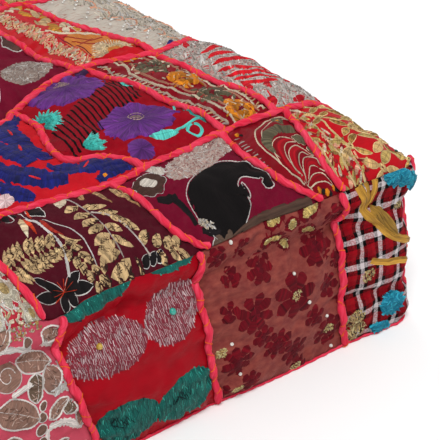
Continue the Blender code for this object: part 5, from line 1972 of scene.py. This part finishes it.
def satin_ovals(sew):
    """Open pinkish ovals above and teal ovals below, on red satin."""
    pale = ((190, 156, 160), (206, 178, 180), (172, 132, 138), (216, 194, 196))
    for x, y, wide, high, tilt in ((24.7, 8.45, 2.85, 1.95, -0.1), (30.0, 8.9, 2.4, 2.05, 0.2)):
        sew.disc((x, y), wide, high, (138, 48, 62), tilt, rise=0.25, grain=1.78, kind=FELT,
                 ragged=0.012, point=0.08)
        sew.oval((x, y), 1.02 * wide, 1.02 * high, tilt, 3, 1.78, 0.125, 0.42, 0.085, pale,
                 0.65, keep=0.98)
    sew.beads((24.2, 8.9), 0.22, (206, 168, 60))
    sew.beads((29.8, 9.0), 0.24, (40, 168, 150))
    teal = ((18, 104, 96), (44, 158, 142), (8, 44, 48), (70, 190, 172), (26, 128, 116))
    for x, y, wide, high, turn in ((26.1, 2.5, 2.35, 1.75, -0.22), (30.5, 2.5, 2.4, 1.85, 0.05),
                                   (24.4, 12.7, 2.4, 1.5, 0.1), (30.0, 13.1, 2.3, 1.1, 0.0)):
        sew.disc((x, y), wide, high, (18, 100, 92), turn, grain=1.8, rise=0.7, ragged=0.03,
                 sectors=64)
        sew.oval((x, y), 1.02 * wide, 1.02 * high, turn, 2.6, 1.8, 0.13, 0.42, 0.12, teal, 0.95,
                 stray=0.2)
        sew.cover(in_oval((x - 0.6, y + 0.2), 0.4 * wide, 0.3 * high, turn),
                  (x - 2, y - 2, x + 2, y + 2), 1.9, 0.15, 0.4, 0.12,
                  ((10, 26, 34), (12, 44, 48)), 1.3, stray=0.4, keep=0.8)


def gauze_flowers(sew):
    """Maroon flowers under gauze, golden leaves on the greatest, and scattered pearls."""
    maroon = (104, 6, 22)
    for x, y, size, count in ((36.8, 9.4, 1.2, 7), (34.5, 9.6, 0.8, 6), (41.8, 9.0, 1.4, 8),
                              (36.1, 6.4, 1.5, 8), (34.2, 7.1, 0.75, 5), (39.4, 6.5, 1.8, 7),
                              (42.6, 5.9, 1.0, 6), (43.7, 7.6, 0.9, 6), (36.7, 4.5, 0.9, 6),
                              (41.2, 4.1, 0.9, 6), (38.0, 3.3, 1.2, 8), (39.6, 2.0, 1.2, 7),
                              (34.8, 3.2, 1.3, 8), (42.7, 2.2, 1.4, 8), (35.9, 1.2, 0.9, 6),
                              (33.3, 11.6, 0.8, 6), (35.4, 11.4, 0.8, 6), (43.3, 11.0, 1.1, 7),
                              (40.2, 0.5, 0.8, 6), (33.8, 0.9, 0.7, 5), (43.9, 4.4, 0.6, 5)):
        sew.flower((x, y), 1.02 * size, count, maroon, 4.5 * size / count, turn=5 * size,
                   inner=0.12, rise=0.22, kind=FELT, vary=0.07, blunt=0.42, ragged=0.0,
                   step=0.1, full=1.6)
        sew.disc((x, y), 0.3 * size, 0.3 * size, (96, 8, 24), rise=0.26, kind=FELT, sectors=16)
    for x, y, long, wide, turn in ((38.0, 11.0, 1.1, 0.62, 10), (38.3, 12.4, 1.0, 0.6, 25),
                                   (39.5, 11.7, 0.55, 0.6, 80), (39.2, 10.2, 0.95, 0.5, -50),
                                   (41.1, 12.2, 1.25, 0.62, 20), (41.1, 10.6, 1.3, 0.45, -32)):
        way = 0.95 * long * heading(math.radians(turn))
        middle = np.array((x, y))
        sew.leaf(middle - way, middle + way, 2.4 * wide, maroon, rise=0.3, kind=FELT, blunt=0.5)
        sew.leaf(middle - 0.72 * way, middle + 0.72 * way, 1.3 * wide, (196, 168, 100), rise=0.7,
                 kind=METAL, blunt=0.5)
        sew.glitter((x, y), 0.62 * long, 0.55 * wide, math.radians(turn),
                    ((226, 204, 140), (246, 228, 170), (130, 96, 50)), count=70)
    for x, y in ((39.5, 6.5), (33.6, 4.2), (42.7, 2.4), (34.9, 0.9), (40.0, 0.4)):
        sew.glitter((x, y), 0.42, 0.34, 0.4, ((226, 200, 130), (246, 228, 170)), count=50)
    sew.beads(((34.5, 12.2), (39.4, 8.1), (40.45, 5.65), (34.35, 4.7), (42.4, 3.6), (35.05, 2.05),
               (43.3, 0.5)), 0.13, (232, 226, 216))


def leaf_cluster(sew, shift, drop):
    """Taupe leaves, rings and a scroll between wide silver bands."""
    white = (224, 216, 210)
    grain = ((196, 160, 144), (112, 82, 70), (176, 140, 124), (206, 176, 162))

    def at(*place):
        """Places of one cluster, moved along to this one."""
        return tuple((x + shift, y + drop) for x, y in place)

    for base, tip, wide, colour in (
            ((20.3, 10.9), (21.6, 11.8), 1.3, TAUPE), ((18.6, 9.9), (21.0, 9.2), 1.4, TAUPE),
            ((19.6, 8.9), (19.3, 7.0), 1.2, (112, 92, 76)), ((20.6, 9.1), (20.9, 6.9), 1.5, TAUPE),
            ((16.7, 7.6), (19.4, 5.9), 1.9, TAUPE), ((16.8, 5.4), (18.4, 3.9), 1.2, TAUPE),
            ((22.7, 3.4), (22.5, 5.2), 0.8, TAUPE), ((20.0, 5.6), (21.8, 6.3), 0.8, TAUPE),
            ((21.5, 5.2), (22.1, 6.0), 1.0, (112, 92, 76)), ((19.4, 2.9), (21.6, 3.3), 0.9, TAUPE),
            ((20.4, 1.6), (22.9, 1.3), 1.2, TAUPE), ((16.6, 1.2), (18.8, 2.3), 1.5, TAUPE),
            ((19.0, 0.2), (19.2, 1.6), 0.8, TAUPE), ((17.0, 11.4), (18.2, 12.6), 0.9, TAUPE)):
        (x0, y0), (x1, y1) = at(base, tip)
        sew.leaf((x0, y0), (x1, y1), wide, colour, edge=white, edge_width=0.15, kind=FELT,
                 blunt=0.5, shade=0.04)
        middle = (0.5 * (x0 + x1), 0.5 * (y0 + y1))
        way = math.atan2(y1 - y0, x1 - x0)
        sew.oval(middle, 0.42 * math.hypot(x1 - x0, y1 - y0), 0.38 * wide, way, 1.5, way + 0.8,
                 0.22, 0.3, 0.12, grain, 1.1, stray=0.7)
        sew.line(((x0, y0), (middle[0] + 0.15, middle[1]), (x1, y1)), white, 0.13, rise=1.0,
                 beat=0.26)
    for x, y, size in ((19.8, 6.6, 0.3), (19.6, 5.9, 0.3), (19.5, 5.0, 0.38), (19.6, 4.1, 0.3),
                       (19.2, 11.3, 0.32), (18.2, 3.2, 0.3), (22.6, 2.2, 0.3)):
        sew.disc((x + shift, y + drop), size, 1.1 * size, (118, 88, 76), rise=0.6, kind=FELT,
                 sectors=16, grain=0.4, edge=white, edge_width=0.14)
    for path, wide in ((((17.2, 11.5), (18.4, 11.2), (19.6, 10.6)), 0.7),
                       (((17.8, 8.1), (18.6, 8.3), (19.3, 8.45)), 0.55),
                       (((20.0, 5.0), (21.4, 4.7), (22.8, 3.5)), 0.85),
                       (((20.9, 6.9), (21.6, 7.1), (22.3, 6.7)), 1.0),
                       (((19.9, 4.9), (19.9, 3.9), (20.2, 2.4)), 0.5),
                       (((21.5, 9.2), (21.7, 8.3), (21.9, 7.4)), 0.7),
                       (((17.0, 3.2), (18.4, 2.9), (19.2, 2.0)), 0.6),
                       (((20.3, 11.0), (20.8, 10.5), (21.4, 10.3)), 0.9)):
        sew.line(at(*path), (216, 206, 200), 0.8 * wide, rise=0.9, beat=0.36)
        sew.line(np.array(at(*path)) + (0.05, -0.12), white, 0.3 * wide, rise=1.4, beat=0.24)
    sew.disc((17.8 + shift, 9.3 + drop), 0.95, 0.9, TAUPE, kind=FELT, grain=0.3, edge=white,
             sectors=32)
    sew.line(arc_path((17.8 + shift, 9.3 + drop), 0.6, 0, 420, 13, grow=-0.7), white, 0.16,
             rise=1.0, beat=0.24)
    sew.glitter((19.0 + shift, 12.1 + drop), 1.4, 0.45, 0.1, (CREAM, GOLD, SILVER), count=110)
    sew.cover(in_oval((21.3 + shift, 7.1 + drop), 0.9, 0.5),
              (20 + shift, 6 + drop, 23 + shift, 8 + drop), 0.8, 0.14, 0.4, 0.12,
              (white, (236, 230, 224)), 1.2, stray=1.2)


def taupe_scrolls(sew):
    """Taupe leaves and scrolls with silver outlines on pink, repeated along the wall."""
    for shift, drop in ((0.0, 0.0), (-6.4, -0.5), (-12.8, 0.3)):
        leaf_cluster(sew, shift, drop)


def tendrils(sew):
    """Ochre tendrils and turquoise knots over a check."""
    bright = (186, 138, 54)
    for path, wide in ((((45.3, 12.4), (45.8, 11.0), (46.0, 10.1), (46.9, 9.0), (48.3, 7.4),
                         (50.7, 6.0)), 0.62),
                       (((46.6, 12.4), (46.4, 11.2), (46.1, 10.1)), 0.46),
                       (((45.9, 12.4), (46.1, 11.2), (46.1, 10.1)), 0.3),
                       (((46.2, 6.4), (47.5, 5.8), (49.2, 5.2), (50.8, 4.4)), 0.46)):
        points = [(x, y, 0.5 * wide) for x, y in path]
        sew.strip(points, bright, rise=1.0, shade=0.16, satin=False)
        sew.line(np.array(path) + (0.06, 0.04), (140, 102, 40), 0.08, rise=1.2)
    sew.leaf((46.5, 10.4), (48.7, 7.0), 1.15, (172, 130, 52), rise=0.9, blunt=0.6, satin=False)
    for shift in (-0.22, 0.0, 0.2):
        sew.line(((46.9 + shift, 9.8), (47.7 + shift, 8.4), (48.3 + shift, 7.5)), (96, 66, 26),
                 0.07, rise=1.2)
    knot = (CYAN, (70, 190, 214), (30, 128, 160), (56, 176, 200))
    for x, y, wide, high, turn in ((48.6, 11.8, 1.6, 0.75, -0.4), (48.2, 2.1, 1.1, 0.95, 0.0),
                                   (47.4, 0.5, 0.9, 0.5, -0.3), (50.2, 10.9, 0.9, 0.6, -0.4)):
        sew.disc((x, y), 0.9 * wide, 0.9 * high, (34, 140, 170), turn, rise=1.2, grain=0.3)
        sew.oval((x, y), wide, high, turn, 1.6, 0.5, 0.13, 0.34, 0.14, knot, 1.9, stray=1.2)
    straw = ((214, 184, 120), (236, 214, 160), BEIGE, BROWN)
    for x, y, size in ((46.0, 5.4, 0.5), (45.0, 2.2, 0.7), (45.3, 1.0, 0.8), (48.8, 9.6, 0.3)):
        sew.glitter((x, y), size, 0.9 * size, 0.6, straw, count=int(170 * size))
        sew.oval((x, y), size, size, 0.0, 1, 1.9, 0.13, 0.5, 0.1, straw, 0.8, stray=0.4)


# ---- Stage, light and camera ----

HEADING = math.radians(38.2)
PITCH = math.radians(29.8)
ROLL = math.radians(-0.96)
LENS = 144.9
SENSOR = 36.0
CAMERA_AT = (-0.4986, -0.9978, 0.6829)
LIT_AT = (0.05, -0.05, 0.08)
LIGHTS = (
    ("key", (-0.6, -1.3, 2.3), 0.9, 44.0),
    ("fill", (1.6, -1.2, 1.3), 1.6, 6.0),
    ("back", (0.6, 1.8, 1.8), 1.4, 14.0),
)
SURROUND = 0.55        # strength of the white light from all round
FLOOR_REACH = 6.0


def make_camera():
    """The camera at the photograph's angle."""
    ahead = Vector((math.sin(HEADING) * math.cos(PITCH), math.cos(HEADING) * math.cos(PITCH),
                    -math.sin(PITCH)))
    level = Vector((math.cos(HEADING), -math.sin(HEADING), 0.0))
    above = level.cross(ahead)
    right = level * math.cos(ROLL) + above * math.sin(ROLL)
    up = above * math.cos(ROLL) - level * math.sin(ROLL)
    data = bpy.data.cameras.new("camera")
    data.lens = LENS
    data.sensor_width = SENSOR
    data.clip_start = 0.05
    camera = bpy.data.objects.new("camera", data)
    camera.matrix_world = Matrix(((right.x, up.x, -ahead.x, CAMERA_AT[0]),
                                  (right.y, up.y, -ahead.y, CAMERA_AT[1]),
                                  (right.z, up.z, -ahead.z, CAMERA_AT[2]),
                                  (0.0, 0.0, 0.0, 1.0)))
    bpy.context.scene.collection.objects.link(camera)
    bpy.context.scene.camera = camera


def make_light(name, place, size, power):
    """A large soft light that faces the pouf."""
    data = bpy.data.lights.new(name, "AREA")
    data.energy = power
    data.size = size
    light = bpy.data.objects.new(name, data)
    light.location = place
    facing = Vector(LIT_AT) - Vector(place)
    light.rotation_mode = "QUATERNION"
    light.rotation_quaternion = facing.to_track_quat("-Z", "Y")
    bpy.context.scene.collection.objects.link(light)


def make_stage():
    """A plain pale floor, soft lights all round and a pale surround."""
    shader = Shader("pale_floor", 0.9)
    place = shader.node("ShaderNodeTexCoord").outputs["Object"]
    shade = shader.bright(shader.mix(shader.noise(place, 3.0), (247, 247, 247), (250, 250, 250)),
                          1.0 / DYE)
    material = shader.finish(shade)
    corners = [(x * FLOOR_REACH, y * FLOOR_REACH, 0.0)
               for x, y in ((-1, -1), (1, -1), (1, 1), (-1, 1))]
    make_object("floor", corners, [(0, 1, 2, 3)], [material])
    world = bpy.data.worlds.new("surround")
    world.use_nodes = True
    world.node_tree.nodes["Background"].inputs[0].default_value = (1.0, 1.0, 1.0, 1.0)
    world.node_tree.nodes["Background"].inputs[1].default_value = SURROUND
    bpy.context.scene.world = world
    for spec in LIGHTS:
        make_light(*spec)
    bpy.context.scene.view_settings.view_transform = "Standard"


def foot_seam(surface, material, cover):
    """The thin red seam round the foot."""
    run = np.arange(0.0, 4 * SIDE, SEAM_STEP)
    turn = np.linspace(0.0, 2 * math.pi, SEAM_SIDES + 1)[:-1]
    runs, turns = np.meshgrid(run, turn, indexing="ij")
    radius = SEAM_R * (1.0 + 0.25 * np.sin(runs * 2 * math.pi / SEAM_TWIST))
    height = SEAM_R * 1.3 + radius * np.sin(turns)
    out = 0.3 * SEAM_R + radius * np.cos(turns)
    points = surface.at(runs, np.full(runs.shape, SEAM_RUN_Z), out)
    points[..., 2] = np.maximum(height, STITCH_LOW)
    i, j = np.meshgrid(np.arange(len(run)), np.arange(SEAM_SIDES), indexing="ij")
    here = i * SEAM_SIDES
    ahead = (i + 1) % len(run) * SEAM_SIDES
    beside = (j + 1) % SEAM_SIDES
    faces = np.stack((here + j, here + beside, ahead + beside, ahead + j), axis=-1)
    item = make_object("foot_seam", points.reshape(-1, 3), faces.reshape(-1, 4).tolist(),
                       [material])
    store(item, "weave", places_at(runs, turns * SEAM_R))
    item.parent = cover


# ---- The patchwork ----

# Grounds by name, in the colours of their cloth
COTTONS = {"maroon": (84, 20, 34), "wine": (122, 18, 46), "scarlet": (214, 30, 42),
           "crimson": (164, 14, 32), "pink": (214, 84, 104), "rose": (196, 50, 66),
           "aubergine": (62, 22, 48), "mustard": (190, 120, 36), "olive": (92, 82, 40),
           "rust": (164, 60, 28)}
SATINS = {"deep_red": (132, 10, 26), "bright_red": (196, 20, 32), "red": (168, 8, 26),
          "teal": (20, 88, 92)}

# The ground and design of each patch that shows
SEEN = {
    "r1_1": ("rose", scrolls), "r1_2": ("maroon", ferns), "r1_3": ("wine", black_paisley),
    "r1_4": ("deep_red", blades), "r1_5": ("bright_red", trellis), "r2_2": ("scarlet", zigzag),
    "r2_3": ("crimson", purple_flowers), "r2_4": ("deep_red", flower_chain),
    "r2_5": ("pale_threads", red_windows), "r3_3": ("wine", wine_paisleys),
    "r3_4": ("bright_red", golden_florals), "r3_5": ("grey_threads", grey_field),
    "w01": ("pink", taupe_scrolls), "w02": ("red", satin_ovals),
    "w03": ("gauze", gauze_flowers), "w04": ("plaid", tendrils)}

# Other colours for a design on another patch
GILT = {PURPLE: (196, 92, 30), PURPLE_HEART: (140, 44, 22), PURPLE_LINE: (150, 60, 24)}
SEA = {PURPLE: (30, 120, 128), PURPLE_HEART: (16, 66, 84), PURPLE_LINE: (16, 60, 80)}
GREEN = {BLUE: (56, 92, 44), DEEP_BLUE: (40, 70, 34)}
GOLDEN = {BLUE: (196, 140, 44), DEEP_BLUE: (150, 98, 30)}
LEAFY = {BEIGE: (150, 170, 110), CREAM: (196, 200, 150)}
BLUISH = {TAUPE: (52, 66, 120)}

# Of the others: the ground, the design's own patch, quarter turns, whether it's mirrored, other
# colours and how many there are side by side
UNSEEN = {
    "r1_0": ("teal", "w01", 1, False, {TAUPE: (150, 90, 40)}),
    "r2_0": ("plum_gauze", "w03", 0, True),
    "r2_1": ("mustard", "w02", 2, False),
    "r3_0": ("crimson", "r3_4", 0, True),
    "r3_1": ("aubergine", "r1_1", 1, False),
    "r3_2": ("bright_red", "r2_3", 2, True, GILT),
    "r4_0": ("olive", "r1_2", 2, False),
    "r4_1": ("rust", "r3_3", 1, False),
    "r4_2": ("rose", "r2_2", 3, False, GREEN),
    "r4_3": ("pink", "r1_3", 0, True),
    "r4_4": ("deep_red", "r1_5", 2, False),
    "r5_0": ("scarlet", "r1_4", 2, True),
    "r5_1": ("maroon", "r1_2", 2, True, LEAFY),
    "r5_2": ("wine", "r1_1", 2, False),
    "r5_3": ("pale_threads", "r2_5", 1, False),
    "r5_4": ("bright_red", "r3_4", 1, False),
    "w00": ("wine", "r3_3", 1, True),
    "w05": ("crimson", "w02", 0, True),
    "w06": ("mustard", "r2_3", 1, False, SEA),
    "w07": ("maroon", "w01", 2, True, BLUISH),
    "w08": ("gauze", "w03", 2, False, {}, 2),
    "w09": ("scarlet", "r2_2", 0, True, GOLDEN),
    "w10": ("pale_threads", "r2_5", 2, False),
    "w11": ("rose", "r1_5", 0, False, {}, 2),
    "w12": ("maroon", "r1_2", 0, False),
    "w13": ("rust", "r2_3", 0, True, SEA),
    "w14": ("plum_gauze", "w03", 0, False),
    "w15": ("olive", "w01", 1, False, {TAUPE: (160, 40, 60)})}


def make_grounds():
    """The patches' cloths by name."""
    grounds = {name: cotton(name + "_cotton", colour) for name, colour in COTTONS.items()}
    for name, colour in SATINS.items():
        grounds[name] = satin(name + "_satin", colour)
    grounds["plaid"] = plaid("checked_cotton")
    grounds["gauze"] = sheer("brown_gauze", (160, 76, 64), (124, 44, 42))
    grounds["plum_gauze"] = sheer("plum_gauze", (120, 62, 96), (84, 34, 62))
    for name, colour, ground, turn, cover in (
            ("pale_threads", (188, 178, 168), (186, 34, 44), 0.5, 0.8),
            ("grey_threads", (200, 190, 176), (172, 124, 112), 0.3, 1.4)):
        grounds[name] = threaded(name, colour, ground, turn, cover)
    return grounds


def make_patchwork(cover, top, wall):
    """Every patch's cloth and its stitching, sewn to the cover."""
    patches = {patch.name: patch for patch in top_patches(top) + wall_patches(wall)}
    grounds = make_grounds()
    threads = [thread("floss"), thread("metal_thread", 0.4, 0.0, 0.15, spark=0.6),
               glass_bead("bead_glass"), thread("sewn_cloth", 0.85, 0.04, depth=0.3)]
    for number, (name, patch) in enumerate(patches.items()):
        if name in SEEN:
            ground, design = SEEN[name]
            sew = Stitching(patch, number)
        else:
            ground, own, *changes = UNSEEN[name]
            design = SEEN[own][1]
            sew = Stitching(patch, number, patches[own], *changes)
        patch.cloth(grounds[ground], cover)
        for part in range(sew.parts):
            sew.part = part
            design(sew)
        sew.make(threads, cover)


def make_cords(cover, top, wall):
    """Every cord of the cushion, each in place of its own solid."""
    places = [(name, top, path) for row in (LONG_PATHS, *CROSS_PATHS)
              for name, path in row.items()]
    for k, cords in enumerate(UPRIGHT_PATHS.values()):
        places += [(name, wall, on_wall(k, path)) for name, path in cords.items()]
    cotton_cord = cord_cotton("cord_cotton")
    orange = Shader("orange_thread", 0.6, sheen=0.1).finish((*linear((243, 112, 30)), 1.0))
    for number, (name, surface, path) in enumerate(places):
        make_cord(name + "_cloth", surface, path, [cotton_cord, orange], cover, name, number)
    foot_seam(wall, cotton_cord, cover)


make_camera()
make_stage()
COVER, TOP, SIDE_WALL = make_cover(cotton("under_cloth", (120, 14, 26)))
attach(COVER, "root")
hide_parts("cushion")
make_patchwork(COVER, TOP, SIDE_WALL)
make_cords(COVER, TOP, SIDE_WALL)
